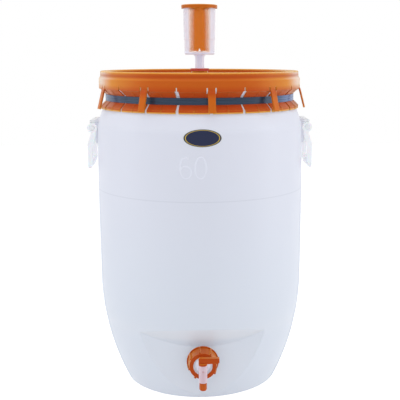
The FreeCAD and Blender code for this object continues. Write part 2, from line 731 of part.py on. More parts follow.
def make_clamp_housing():
    body = new_body("clamp_housing")
    turn_to(body, "clamp_azimuth")
    section = new_sketch(body, "housing_outline", "YZ_Plane")
    half = "(strap_width / 2)"
    roof = f"({WORM_AXIS} + worm_radius + worm_fit + housing_wall)"
    outer = f"({half} + housing_wall)"
    foot = f"({STRAP_INSIDE} + strap_thickness / 2)"
    add_outline(section, [
        (f"-{foot}", f"{STRAP_MIDDLE} - {half}"),
        (f"-({foot} + housing_chamfer)", f"{STRAP_MIDDLE} - {outer}"),
        (f"-({WORM_AXIS})", f"{STRAP_MIDDLE} - {outer}"),
        (f"-{roof}", f"{STRAP_MIDDLE} - worm_radius", "housing_wall"),
        (f"-{roof}", f"{STRAP_MIDDLE} + worm_radius", "housing_wall"),
        (f"-({WORM_AXIS})", f"{STRAP_MIDDLE} + {outer}"),
        (f"-({foot} + housing_chamfer)", f"{STRAP_MIDDLE} + {outer}"),
        (f"-{foot}", f"{STRAP_MIDDLE} + {half}"),
    ])
    pad(body, section, "housing_length", symmetric=True)
    bore = new_sketch(body, "housing_bore_outline", "YZ_Plane")
    add_circle(bore, f"-{WORM_AXIS}", STRAP_MIDDLE, "worm_radius + worm_fit")
    pocket(body, bore, "2 * housing_length", symmetric=True)
    channel = new_sketch(body, "housing_channel_outline", "YZ_Plane")
    add_outline(channel, box_corners(
        f"-({WORM_AXIS} - worm_radius / 2)", f"-({FLAP_RADIUS} - strap_thickness)",
        f"{STRAP_MIDDLE} - {half}", f"{STRAP_MIDDLE} + {half}",
    ))
    pocket(body, channel, "2 * housing_length", symmetric=True)
    return body


def make_clamp_screw():
    body = new_body("clamp_screw")
    turn_to(body, "clamp_azimuth")
    worm = new_sketch(body, "worm_outline", "YZ_Plane", "-worm_length / 2")
    add_circle(worm, f"-{WORM_AXIS}", STRAP_MIDDLE, "worm_radius")
    pad(body, worm, "worm_length / 2 + housing_length / 2 + screw_gap")
    head = new_sketch(body, "screw_head_outline", "YZ_Plane", "housing_length / 2 + screw_gap")
    across = "screw_head_radius"
    side = f"({across} * sqrt(3) / 2)"
    add_outline(head, [
        (f"-({WORM_AXIS} + {across})", STRAP_MIDDLE),
        (f"-({WORM_AXIS} + {across} / 2)", f"{STRAP_MIDDLE} - {side}"),
        (f"-({WORM_AXIS} - {across} / 2)", f"{STRAP_MIDDLE} - {side}"),
        (f"-({WORM_AXIS} - {across})", STRAP_MIDDLE),
        (f"-({WORM_AXIS} - {across} / 2)", f"{STRAP_MIDDLE} + {side}"),
        (f"-({WORM_AXIS} + {across} / 2)", f"{STRAP_MIDDLE} + {side}"),
    ])
    pad(body, head, "screw_head_length")
    slot = new_sketch(
        body, "screw_slot_outline", "YZ_Plane", "housing_length / 2 + screw_gap + screw_head_length"
    )
    add_outline(slot, box_corners(
        f"-({WORM_AXIS} + 2 * screw_head_radius)", f"-({WORM_AXIS} - 2 * screw_head_radius)",
        f"{STRAP_MIDDLE} - screw_slot_width / 2", f"{STRAP_MIDDLE} + screw_slot_width / 2",
    ))
    pocket(body, slot, "screw_slot_depth")
    return body


def make_airlock_grommet():
    body = new_body("airlock_grommet")
    section = new_sketch(body, "grommet_outline", "XZ_Plane")
    plate_under = f"({TURRET_TOP} - lid_sheet)"
    lip_radius = "(turret_radius - lid_sheet - strap_seat)"
    add_outline(section, [
        ("stem_radius", f"{plate_under} - grommet_lip"),
        (lip_radius, f"{plate_under} - grommet_lip", "grommet_lip / 4"),
        (lip_radius, plate_under),
        ("grommet_neck_radius", plate_under),
        ("grommet_neck_radius", TURRET_TOP),
        ("grommet_radius", TURRET_TOP, "grommet_lip / 4"),
        ("grommet_radius", GROMMET_TOP, "grommet_lip / 2"),
        ("stem_radius", GROMMET_TOP),
    ])
    revolve(body, section)
    return body


def make_airlock_cup():
    body = new_body("airlock_cup")
    section = new_sketch(body, "cup_outline", "XZ_Plane")
    step_radius = "(cup_floor_radius + (cup_top_radius - cup_floor_radius) / 2)"
    add_outline(section, [
        ("stem_bore_radius", f"{PANEL_UNDER} - stem_reach_below"),
        ("stem_radius", f"{PANEL_UNDER} - stem_reach_below", "cup_wall / 2"),
        ("stem_radius", f"{CUP_FLOOR} - collar_height"),
        ("collar_radius", f"{CUP_FLOOR} - collar_height"),
        ("collar_radius", CUP_FLOOR),
        ("cup_floor_radius", CUP_FLOOR, "cup_round"),
        ("cup_floor_radius + cup_wall / 4", f"{CUP_FLOOR} + cup_step_height"),
        (step_radius, f"{CUP_FLOOR} + cup_step_height + cup_wall"),
        ("cup_top_radius", CUP_TOP),
        ("cup_top_radius - cup_wall", CUP_TOP),
        (f"{step_radius} - cup_wall", f"{CUP_FLOOR} + cup_step_height + cup_wall"),
        ("cup_floor_radius - cup_wall * 3 / 4", f"{CUP_FLOOR} + cup_step_height"),
        ("cup_floor_radius - cup_wall", f"{CUP_FLOOR} + cup_wall", "cup_round - cup_wall"),
        ("chimney_radius", f"{CUP_FLOOR} + cup_wall"),
        ("chimney_radius", f"{CUP_FLOOR} + chimney_height"),
        ("stem_bore_radius", f"{CUP_FLOOR} + chimney_height"),
    ])
    revolve(body, section)
    return body


def make_airlock_cap():
    """The cap that rests on the cup's rim, with the bell hanging from it."""
    body = new_body("airlock_cap")
    section = new_sketch(body, "cap_outline", "XZ_Plane")
    bell_foot = f"({CUP_FLOOR} + cup_wall + bell_floor_gap)"
    add_outline(section, [
        ("0", CUP_TOP),
        ("bell_top_radius - cap_wall", CUP_TOP, "cap_wall"),
        ("bell_top_radius - cap_wall", f"{CUP_TOP} - 2 * bell_flare"),
        ("bell_radius - cap_wall", bell_foot),
        ("bell_radius", bell_foot),
        ("bell_top_radius", f"{CUP_TOP} - 2 * bell_flare", "bell_flare"),
        ("bell_top_radius + bell_flare", CUP_TOP),
        (f"{CAP_RADIUS} - cap_wall", CUP_TOP),
        (f"{CAP_RADIUS} - cap_wall", f"{CUP_TOP} + cap_wall - cap_depth"),
        (CAP_RADIUS, f"{CUP_TOP} + cap_wall - cap_depth"),
        (CAP_RADIUS, f"{CUP_TOP} + cap_wall", "cap_wall * 2 / 3"),
        (f"{CAP_RADIUS} - 2 * cap_wall", f"{CUP_TOP} + cap_wall + cap_dome / 5"),
        ("0", f"{CUP_TOP} + cap_wall + cap_dome"),
    ])
    revolve(body, section)
    notch = new_sketch(body, "notch_outline", "XZ_Plane")
    add_outline(notch, [
        ("-bell_notch_width / 2", f"{bell_foot} - cap_wall"),
        ("bell_notch_width / 2", f"{bell_foot} - cap_wall"),
        ("0", f"{bell_foot} + bell_notch_height"),
    ])
    notch_cut = pocket(body, notch, "2 * bell_radius", outwards=True)
    polar(body, [notch_cut], "bell_notch_count")
    return body


def make_handle_right():
    """A handle that hangs from its two eyes: its side view padded across, kept inside its front view."""
    side_body = new_body("handle_side")
    leg = new_sketch(side_body, "leg_outline", "XZ_Plane")
    root = f"({HINGE_REACH} - leg_root_offset)"
    foot = f"({HINGE_REACH} + leg_foot_offset)"
    half = "(leg_thickness / 2)"
    handle_foot = f"({HINGE_HEIGHT} - handle_drop)"
    add_outline(leg, [
        (f"{root} - {half}", HINGE_HEIGHT),
        (f"{root} - {half}", f"{HINGE_HEIGHT} - upper_bend_drop", "leg_round / 2"),
        (f"{foot} - {half}", f"{HINGE_HEIGHT} - lower_bend_drop", "leg_round"),
        (f"{foot} - {half}", f"{handle_foot} + grip_height * 2 / 3", "grip_round / 2"),
        (f"{foot}", handle_foot, "leg_thickness / 4"),
        (f"{foot} + {half}", handle_foot, "leg_thickness / 5"),
        (f"{foot} + {half}", f"{HINGE_HEIGHT} - lower_bend_drop + leg_thickness / 2", "leg_round"),
        (f"{root} + {half}", f"{HINGE_HEIGHT} - upper_bend_drop + leg_thickness / 4", "leg_round / 2"),
        (f"{root} + {half}", HINGE_HEIGHT),
    ])
    across = "2 * (lug_half_width + eye_side_gap + leg_width)"
    pad(side_body, leg, across, symmetric=True)
    eye = new_sketch(side_body, "eye_outline", "XZ_Plane")
    add_circle(eye, HINGE_REACH, HINGE_HEIGHT, "eye_radius")
    pad(side_body, eye, across, symmetric=True)
    bore = new_sketch(side_body, "eye_bore_outline", "XZ_Plane")
    add_circle(bore, HINGE_REACH, HINGE_HEIGHT, "pin_radius + eye_fit")
    pocket(side_body, bore, f"2 * ({across})", symmetric=True)
    front_body = new_body("handle_front")
    front = new_sketch(front_body, "front_outline", "YZ_Plane")
    inner = "(lug_half_width + eye_side_gap)"
    outer = f"({inner} + leg_width)"
    top = f"({HINGE_HEIGHT} + 2 * eye_radius)"
    grip_top = f"({handle_foot} + grip_height)"
    add_outline(front, [
        (f"-{outer}", handle_foot, "grip_round"),
        (outer, handle_foot, "grip_round"),
        (outer, top),
        (inner, top),
        (inner, grip_top, "grip_round / 2"),
        (f"-{inner}", grip_top, "grip_round / 2"),
        (f"-{inner}", top),
        (f"-{outer}", top),
    ])
    pad(front_body, front, "2 * belly_radius")
    return boolean("Common", "handle_right", side_body, front_body)


def make_handle_left(right):
    left = doc.addObject("Part::Mirroring", "handle_left")
    left.Label = "handle_left"
    left.Source = right
    left.Base = FreeCAD.Vector(0, 0, 0)
    left.Normal = FreeCAD.Vector(1, 0, 0)
    return left


def make_tap_nut():
    body = new_body("tap_nut")
    face_outwards(body)
    section = new_sketch(body, "nut_outline", "XZ_Plane")
    bore = "(spigot_radius + thread_gap)"
    add_outline(section, [
        (bore, NUT_BACK),
        ("nut_flange_radius", NUT_BACK, "nut_flange_thickness / 4"),
        ("nut_flange_radius", f"{NUT_BACK} + nut_flange_thickness", "nut_flange_thickness / 4"),
        ("nut_root_radius", f"{NUT_BACK} + nut_flange_thickness"),
        ("nut_front_radius", NUT_FRONT, "nut_front_wall / 2"),
        ("nut_hole_radius", NUT_FRONT, "nut_front_wall / 4"),
        ("nut_hole_radius", f"{FLANGE_FRONT}"),
        (bore, FLANGE_FRONT),
    ])
    revolve(body, section)
    rib = new_sketch(body, "nut_rib_outline", "XZ_Plane", turn="nut_rib_azimuth")
    add_outline(rib, [
        (f"{bore} + nut_front_wall / 2", f"{NUT_BACK} + nut_flange_thickness / 2"),
        ("nut_flange_radius", f"{NUT_BACK} + nut_flange_thickness / 2"),
        ("nut_flange_radius", f"{NUT_BACK} + 2 * nut_flange_thickness"),
        ("nut_root_radius", f"{NUT_FRONT} - nut_front_wall / 2"),
        (f"{bore} + nut_front_wall / 4", f"{NUT_FRONT} - nut_front_wall / 2"),
    ])
    rib_pad = pad(body, rib, "nut_rib_width", symmetric=True)
    polar(body, [rib_pad], "nut_rib_count")
    return body


def make_tap_gasket():
    body = new_body("tap_gasket")
    face_outwards(body)
    section = new_sketch(body, "tap_gasket_outline", "XZ_Plane")
    add_outline(section, box_corners(
        "spigot_bore_radius - tap_gasket_thickness", "tap_flange_radius", SPIGOT_END, FLANGE_BACK
    ))
    revolve(body, section)
    return body


def make_tap_body():
    """The clear outlet: a flange held by the nut, a neck and an upright tube that the plug turns in."""
    body = new_body("tap_body")
    face_outwards(body)
    flange = new_sketch(body, "tap_flange_outline", "XY_Plane", FLANGE_BACK)
    add_circle(flange, "0", "0", "tap_flange_radius")
    pad(body, flange, "tap_flange_thickness")
    neck = new_sketch(body, "tap_neck_outline", "XY_Plane", FLANGE_BACK)
    add_circle(neck, "0", "0", "tap_neck_radius")
    pad(body, neck, f"{TUBE_REACH} - {FLANGE_BACK}")
    tube = new_sketch(body, "tube_outline", "XZ_Plane", "-tube_head")
    add_circle(tube, "0", TUBE_REACH, "tube_radius")
    pad(body, tube, "tube_head + tube_foot")
    tube_bore = new_sketch(body, "tube_bore_outline", "XZ_Plane", "-2 * tube_head")
    add_circle(tube_bore, "0", TUBE_REACH, "plug_radius + plug_fit")
    pocket(body, tube_bore, "3 * tube_head + tube_foot", outwards=True)
    passage = new_sketch(body, "tap_passage_outline", "XY_Plane", f"{FLANGE_BACK} - tap_gasket_thickness")
    add_circle(passage, "0", "0", "tap_bore_radius")
    pocket(body, passage, f"{TUBE_REACH} - {FLANGE_BACK} + tap_gasket_thickness", outwards=True)
    peep = new_sketch(body, "peep_hole_outline", "XY_Plane", TUBE_REACH)
    add_circle(peep, "0", "-peep_hole_drop", "peep_hole_radius")
    pocket(body, peep, "2 * tube_radius", outwards=True)
    return body


def make_tap_plug():
    """The turning plug: lever, collar, hollow shaft with a side window, and the spout tip below."""
    body = new_body("tap_plug")
    body.Placement = FreeCAD.Placement()
    bind(body, "Placement.Base.y", f"-{TUBE_REACH}")
    tube_low = "(tap_height - tube_foot)"
    tube_high = "(tap_height + tube_head)"
    spout_top = f"({tube_low} - plug_gap)"
    collar_low = f"({tube_high} + plug_gap)"
    collar_high = f"({collar_low} + plug_collar_height)"
    bore_end = "(tap_height + plug_window_radius + plug_bore_margin)"
    section = new_sketch(body, "plug_outline", "XZ_Plane")
    add_outline(section, [
        ("plug_bore_radius", f"{spout_top} - spout_length"),
        ("spout_radius", f"{spout_top} - spout_length", "spout_radius / 4"),
        ("spout_radius", spout_top),
        ("plug_radius", spout_top),
        ("plug_radius", collar_low),
        ("plug_collar_radius", collar_low, "plug_gap * 3"),
        ("plug_collar_radius", collar_high),
        ("0", collar_high),
        ("0", bore_end),
        ("plug_bore_radius", bore_end),
    ])
    revolve(body, section)
    window = new_sketch(body, "plug_window_outline", "YZ_Plane")
    add_circle(window, "0", "tap_height", "plug_window_radius")
    pocket(body, window, "2 * plug_radius")
    lever = new_sketch(body, "lever_outline", "XZ_Plane")
    add_outline(lever, [
        ("-plug_collar_radius", f"{collar_high} - plug_gap"),
        ("plug_collar_radius", f"{collar_high} - plug_gap"),
        ("lever_reach", f"{collar_high} + lever_height / 8", "lever_round / 2"),
        ("lever_reach", f"{collar_high} + lever_height", "lever_round"),
        ("-plug_collar_radius", f"{collar_high} + lever_height", "lever_round"),
    ])
    pad(body, lever, "lever_depth", symmetric=True)
    return body


def make_label():
    """An oval label that follows the barrel's wall and shoulder."""
    skin = new_body("label_skin")
    strip = new_sketch(skin, "label_strip_outline", "XZ_Plane")
    wall_line = [
        ("belly_radius", "belly_height"),
        (UPPER_RADIUS, "mouth_height - shoulder_drop"),
        (SHOULDER_RADIUS, "mouth_height - shoulder_end_drop"),
    ]
    inner = [(f"{across} + label_gap", up) for across, up in wall_line]
    outer = [(f"{across} + label_gap + label_thickness", up) for across, up in wall_line]
    corners = outer + inner[::-1]
    corners[1] = corners[1] + ("shoulder_round",)
    corners[4] = corners[4] + ("shoulder_round",)
    add_outline(strip, corners)
    revolve(skin, strip)
    oval = new_body("label_oval")
    ellipse = new_sketch(oval, "label_oval_outline", "XZ_Plane")
    add_ellipse(ellipse, "label_offset", "mouth_height - label_drop", "label_width / 2", "label_height / 2")
    pad(oval, ellipse, "2 * belly_radius")
    return boolean("Common", "label", skin, oval)


def make_parts():
    handle_right = make_handle_right()
    return [
        make_barrel(),
        make_lid(),
        make_lid_gasket(),
        make_strap(),
        make_clamp_housing(),
        make_clamp_screw(),
        make_airlock_grommet(),
        make_airlock_cup(),
        make_airlock_cap(),
        handle_right,
        make_handle_left(handle_right),
        make_tap_nut(),
        make_tap_gasket(),
        make_tap_body(),
        make_tap_plug(),
        make_label(),
    ]


def check_document():
    for thing in doc.Objects:
        if "Invalid" in thing.State or "Error" in thing.State:
            raise RuntimeError(f"{thing.Label} failed: {thing.State}")


def export_parts(parts):
    os.makedirs("parts", exist_ok=True)
    for part in parts:
        shape = part.Shape
        if shape.isNull() or not shape.isValid():
            raise RuntimeError(f"{part.Label} has no valid shape")
        shape.exportStep(f"parts/{part.Label}.step")
        print(f"{part.Label}: {len(shape.Solids)} solid, {shape.Volume / 1000:.2f} cm3")


finished = make_parts()
doc.recompute()
check_document()
export_parts(finished)
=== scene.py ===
import json
import math

import bmesh
import bpy
from mathutils import Matrix, Vector


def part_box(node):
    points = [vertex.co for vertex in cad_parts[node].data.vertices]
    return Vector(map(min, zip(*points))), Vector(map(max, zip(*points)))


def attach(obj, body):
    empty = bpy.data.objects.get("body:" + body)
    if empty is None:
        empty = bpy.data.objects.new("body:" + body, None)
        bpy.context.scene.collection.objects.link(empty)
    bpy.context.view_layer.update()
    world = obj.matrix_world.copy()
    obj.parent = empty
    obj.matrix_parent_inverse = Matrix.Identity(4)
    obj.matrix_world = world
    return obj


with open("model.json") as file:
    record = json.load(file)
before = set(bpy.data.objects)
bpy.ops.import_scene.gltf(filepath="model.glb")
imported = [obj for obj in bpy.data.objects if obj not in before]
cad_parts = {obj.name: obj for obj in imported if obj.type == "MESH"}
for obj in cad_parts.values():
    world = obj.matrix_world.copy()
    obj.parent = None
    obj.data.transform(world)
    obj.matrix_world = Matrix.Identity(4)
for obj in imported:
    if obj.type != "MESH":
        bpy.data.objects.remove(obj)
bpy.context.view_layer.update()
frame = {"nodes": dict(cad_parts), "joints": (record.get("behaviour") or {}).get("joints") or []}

bl_info = {
    "name": "Plastic fermenter",
    "version": (1, 0, 0),
    "blender": (4, 5, 0),
    "location": "3D View > Sidebar > Fermenter",
    "description": "Finishes and fine details for a strapped plastic fermenter with an airlock and a tap",
    "category": "Object",
}

LABEL_LOW, LABEL_HIGH = (Vector(corner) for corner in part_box("label"))
LID_LOW, LID_HIGH = (Vector(corner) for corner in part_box("lid"))
GROMMET_HIGH = Vector(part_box("airlock_grommet")[1])
CUP_HIGH = Vector(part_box("airlock_cup")[1])
CAP_HIGH = Vector(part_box("airlock_cap")[1])
PLUG_LOW = Vector(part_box("tap_plug")[0])
TUBE_LOW = Vector(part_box("tap_body")[0])
TAP_AXIS = next(Vector(joint["pos_m"]) for joint in frame["joints"] if joint["name"] == "tap_turn")

RIGHT = (1.0, 0.0, 0.0)
LEFT = (-1.0, 0.0, 0.0)
BACK = (0.0, 1.0, 0.0)
UP = (0.0, 0.0, 1.0)

# Places on the barrel, in metres from the floor or from its axis.
FOOT_SHADE_HEIGHTS = (0.10, 0.50)
RECESS_DEPTHS = (-0.167, -0.158)
LEDGE_RISE = (0.11, 0.14)
LEDGE_END = (0.22, 0.20)
LUG_REACH = (0.1994, 0.2002)
SEAM_LEVEL, SEAM_WIDTH = 0.382, 0.0014
EDGE_SHADE_END = (0.46, 0.30)
SIX_MIDDLE, NOUGHT_MIDDLE = -0.0277, -0.0017

# Places on the lid, in metres below its top, above its foot or from its axis.
RIM_BLEND = (0.034, 0.020)
UNDER_RIM_START = (0.030, 0.048)
UNDER_RIM_END = (0.066, 0.054)
LIP_BAND_DEPTH, LIP_BAND_WIDTH = 0.0072, 0.0052
LIP_LINE_DEPTH, LIP_LINE_WIDTH = 0.0004, 0.0024
FLAP_FOOT = (0.008, 0.003)
FLAP_END_HEIGHT, FLAP_END_WIDTH = 0.0006, 0.0026
TAB_REACH = (0.1915, 0.1945)

# Places on the airlock and the tap, and the spout's sleeve.
CAP_TOP_DEPTHS = (0.0045, 0.0005)
BELL_DEPTHS = (0.003, 0.006)
STEM_HEIGHT, STEM_BLEND = 0.029, 0.004
FLANGE_OFFSET, FLANGE_BLEND = 0.0065, 0.002
SPOUT_RADIUS = 0.0064
FLUTES, FLUTE_RINGS = 14, 4

# The label's bands, as shares of the way from its middle to its edge.
KEYLINE_START, KEYLINE_END, PALE_EDGE_START = 0.835, 0.875, 0.945

# How the plastics pass and return light.
MILKY_SHARE, LID_SHARE = 0.85, 0.75
WARM_GLOSS = (1.0, 0.50, 0.16, 1.0)
WARM_SHEEN = (1.0, 0.60, 0.20, 1.0)

# Accent colours, linear: many are painted light, shade, highlights, sheen and glows; the rest are the
# object's own colours.
RECESS_PAINTED_LIGHT = (0.87, 0.90, 0.97, 1.0)
LEDGE_LIT = (0.93, 0.93, 0.95, 1.0)
LUG_LIT = (0.93, 0.97, 1.0, 1.0)
SEAM = (0.50, 0.53, 0.62, 1.0)
BARREL_EDGE_SHADE = (0.46, 0.53, 0.66, 1.0)
RIM_PAINTED_SHEEN = (0.80, 0.30, 0.018, 1.0)
UNDER_RIM_SHADE = (0.48, 0.030, 0.006, 1.0)
TAB_LIT = (0.68, 0.17, 0.012, 1.0)
RIM_GLARE = (0.92, 0.80, 0.74, 1.0)
LIP_PAINTED_SHADE = (0.46, 0.050, 0.010, 1.0)
LIP_HIGHLIGHT = (0.92, 0.50, 0.08, 1.0)
FLAP_END_HIGHLIGHT = (0.95, 0.58, 0.12, 1.0)
LID_EDGE_HIGHLIGHT = (0.90, 0.50, 0.06, 1.0)
TAP_PAINTED_SHEEN = (0.70, 0.19, 0.006, 1.0)
TAP_EDGE_HIGHLIGHT = (0.86, 0.38, 0.04, 1.0)
FLUTE_LIT = (0.70, 0.20, 0.03, 1.0)
FLANGE_CLEAR = (0.86, 0.89, 0.98, 1.0)
CAP_TOP_HIGHLIGHT = (0.94, 0.56, 0.10, 1.0)
CAP_EDGE_HIGHLIGHT = (0.95, 0.55, 0.06, 1.0)
BELL_PAINTED_GLOW = (0.86, 0.28, 0.008, 1.0)
BELL_PAINTED_THROUGH_CUP = (0.94, 0.52, 0.26, 1.0)
STRAP_LIT = (0.15, 0.22, 0.42, 1.0)
STEEL_DARK, STEEL_LIGHT = (0.42, 0.43, 0.45, 1.0), (0.62, 0.63, 0.65, 1.0)
INK_LIGHT = (0.03, 0.04, 0.09, 1.0)
KEYLINE = (0.70, 0.50, 0.06, 1.0)
PALE_EDGE = (0.78, 0.80, 0.82, 1.0)
BLACK, WHITE = (0.0, 0.0, 0.0, 1.0), (1.0, 1.0, 1.0, 1.0)


class FermenterSizes(bpy.types.PropertyGroup):
    """Sizes of the details that the scene adds."""

    digit_height: bpy.props.FloatProperty(
        name="Digit height", description="Height of the moulded capacity number",
        default=0.037, min=0.005, unit="LENGTH",
    )
    digit_width: bpy.props.FloatProperty(
        name="Digit width", description="Width of one moulded digit",
        default=0.0195, min=0.003, unit="LENGTH",
    )
    digit_stroke: bpy.props.FloatProperty(
        name="Digit stroke", description="Half the width of a digit's raised stroke",
        default=0.0014, min=0.0002, unit="LENGTH",
    )
    digit_relief: bpy.props.FloatProperty(
        name="Digit relief", description="How far the digits stand out of the wall",
        default=0.0006, min=0.0001, unit="LENGTH",
    )
    digit_middle: bpy.props.FloatProperty(
        name="Digit middle", description="Height of the digits' middle above the floor",
        default=0.442, unit="LENGTH",
    )
    wall_radius: bpy.props.FloatProperty(
        name="Wall radius", description="Outside radius of the barrel behind the digits",
        default=0.1984, unit="LENGTH",
    )
    flute_depth: bpy.props.FloatProperty(
        name="Flute depth", description="Depth of the grooves round the spout tip",
        default=0.0005, min=0.00005, unit="LENGTH",
    )


class FermenterColours(bpy.types.PropertyGroup):
    """Colours of the object, linear."""

    barrel: bpy.props.FloatVectorProperty(
        name="Barrel", description="Milky polyethylene of the barrel",
        subtype="COLOR", size=3, min=0.0, max=1.0, default=(0.80, 0.82, 0.92),
    )
    # Painted shade: the darker, cooler tone the barrel is given towards its foot.
    barrel_foot_shade: bpy.props.FloatVectorProperty(
        name="Barrel foot", description="Cooler tone of the barrel towards its foot",
        subtype="COLOR", size=3, min=0.0, max=1.0, default=(0.765, 0.815, 0.905),
    )
    lid: bpy.props.FloatVectorProperty(
        name="Lid", description="Orange of the lid and its flaps",
        subtype="COLOR", size=3, min=0.0, max=1.0, default=(0.52, 0.060, 0.008),
    )
    # Painted light: the rim's lighter orange stands for the light that falls on the raised rim.
    rim: bpy.props.FloatVectorProperty(
        name="Lid rim", description="Lighter orange of the lid's hollow rim",
        subtype="COLOR", size=3, min=0.0, max=1.0, default=(0.59, 0.112, 0.012),
    )
    tap: bpy.props.FloatVectorProperty(
        name="Tap", description="Orange red of the tap's nut and plug",
        subtype="COLOR", size=3, min=0.0, max=1.0, default=(0.47, 0.055, 0.007),
    )
    cap: bpy.props.FloatVectorProperty(
        name="Airlock cap", description="Frosted orange of the airlock's cap and bell",
        subtype="COLOR", size=3, min=0.0, max=1.0, default=(0.58, 0.125, 0.010),
    )
    strap: bpy.props.FloatVectorProperty(
        name="Strap", description="Dark slate finish of the strap",
        subtype="COLOR", size=3, min=0.0, max=1.0, default=(0.022, 0.034, 0.058),
    )
    label: bpy.props.FloatVectorProperty(
        name="Label", description="Dark field of the label",
        subtype="COLOR", size=3, min=0.0, max=1.0, default=(0.010, 0.016, 0.058),
    )


class StageSettings(bpy.types.PropertyGroup):
    """Camera and lamps."""

    camera_distance: bpy.props.FloatProperty(
        name="Camera distance", description="From the barrel's axis to the camera, along the floor",
        default=1.545, unit="LENGTH",
    )
    camera_height: bpy.props.FloatProperty(
        name="Camera height", description="Height of the camera above the floor",
        default=0.636, unit="LENGTH",
    )
    camera_pitch: bpy.props.FloatProperty(
        name="Camera pitch", description="How far the camera looks down",
        default=math.radians(10.5), subtype="ANGLE",
    )
    camera_azimuth: bpy.props.FloatProperty(
        name="Camera azimuth", description="Turn of the camera and its path about the barrel's axis",
        default=math.radians(-2.8), subtype="ANGLE",
    )
    camera_offset: bpy.props.FloatProperty(
        name="Camera offset", description="How far the camera stands to the right of the barrel's axis",
        default=0.057, unit="LENGTH",
    )
    camera_shift: bpy.props.FloatProperty(
        name="Camera shift", description="Sideways shift of the frame that brings the object to the middle",
        default=-0.0731,
    )
    camera_lens: bpy.props.FloatProperty(
        name="Lens", description="Focal length in millimetres on a 36 mm sensor", default=71.1,
    )
    sky_strength: bpy.props.FloatProperty(
        name="Sky", description="Strength of the even light from all round", default=0.72,
    )
    side_power: bpy.props.FloatProperty(
        name="Side lamps", description="Power of each tall lamp at the sides, in watts", default=2.5,
    )
    top_power: bpy.props.FloatProperty(
        name="Top lamp", description="Power of the wide lamp above the lid, in watts", default=2.3,
    )
    key_power: bpy.props.FloatProperty(
        name="Key lamp", description="Power of the lamp above the camera, in watts", default=3.0,
    )


def sizes():
    return bpy.context.scene.fermenter_sizes


def colours():
    return bpy.context.scene.fermenter_colours


def stage_settings():
    return bpy.context.scene.fermenter_stage


def new_group(name, inputs, outputs):
    """A shader node group with float and colour sockets, given as (name, type, default)."""
    group = bpy.data.node_groups.new(name, "ShaderNodeTree")
    for socket, kind, default in inputs:
        made = group.interface.new_socket(name=socket, in_out="INPUT", socket_type=kind)
        made.default_value = default
    for socket, kind in outputs:
        group.interface.new_socket(name=socket, in_out="OUTPUT", socket_type=kind)
    return group, group.nodes.new("NodeGroupInput"), group.nodes.new("NodeGroupOutput")


def feed(tree, socket, value):
    """Set a socket to a number or a tuple, or link it to another socket."""
    if isinstance(value, (int, float, tuple)):
        socket.default_value = value
    else:
        tree.links.new(value, socket)


def set_values(node, values):
    """Set sockets of a node by their names."""
    for socket, value in values.items():
        node.inputs[socket].default_value = value


def math_node(tree, operation, first, second=None, clamp=False):
    node = tree.nodes.new("ShaderNodeMath")
    node.operation = operation
    node.use_clamp = clamp
    feed(tree, node.inputs[0], first)
    if second is not None:
        feed(tree, node.inputs[1], second)
    return node.outputs[0]


def product(tree, first, second, clamp=False):
    return math_node(tree, "MULTIPLY", first, second, clamp)


def vector_node(tree, operation, first, second=None):
    """The outputs of a vector operation."""
    node = tree.nodes.new("ShaderNodeVectorMath")
    node.operation = operation
    feed(tree, node.inputs[0], first)
    if second is not None:
        feed(tree, node.inputs[1], second)
    return node.outputs


def mix_colour(tree, factor, first, second, blend="MIX"):
    node = tree.nodes.new("ShaderNodeMix")
    node.data_type = "RGBA"
    node.blend_type = blend
    for socket, value in ((0, factor), (6, first), (7, second)):
        feed(tree, node.inputs[socket], value)
    return node.outputs[2]


def tint(tree, colour, mask, share, target):
    """Blend a colour towards a target by a share of a mask."""
    return mix_colour(tree, product(tree, mask, share), colour, target)


def noise(tree, coordinates, scale, detail=3.0, roughness=0.5):
    node = tree.nodes.new("ShaderNodeTexNoise")
    set_values(node, {"Detail": detail, "Roughness": roughness})
    feed(tree, node.inputs["Vector"], coordinates)
    feed(tree, node.inputs["Scale"], scale)
    return node.outputs["Fac"]


def object_place(tree):
    return tree.nodes.new("ShaderNodeTexCoord").outputs["Object"]


def stretched_place(tree, scale, rotation=(0.0, 0.0, 0.0)):
    """Object coordinates, scaled and turned."""
    mapping = tree.nodes.new("ShaderNodeMapping")
    set_values(mapping, {"Scale": scale, "Rotation": rotation})
    feed(tree, mapping.inputs["Vector"], object_place(tree))
    return mapping.outputs["Vector"]


def split_vector(tree, vector):
    """The outputs X, Y and Z of a vector."""
    node = tree.nodes.new("ShaderNodeSeparateXYZ")
    feed(tree, node.inputs[0], vector)
    return node.outputs


def smooth_span(tree, value, start, end, top=1.0):
    """A smooth rise from 0 to the top as a value goes from start to end."""
    span = tree.nodes.new("ShaderNodeMapRange")
    span.interpolation_type = "SMOOTHSTEP"
    for socket, given in (("Value", value), ("From Min", start), ("From Max", end), ("To Max", top)):
        feed(tree, span.inputs[socket], given)
    return span.outputs[0]


def about_zero(tree, pattern, amount):
    """A pattern from 0 to 1 as one from minus to plus an amount."""
    centred = math_node(tree, "SUBTRACT", pattern, 0.5)
    return product(tree, product(tree, centred, amount), 2.0)


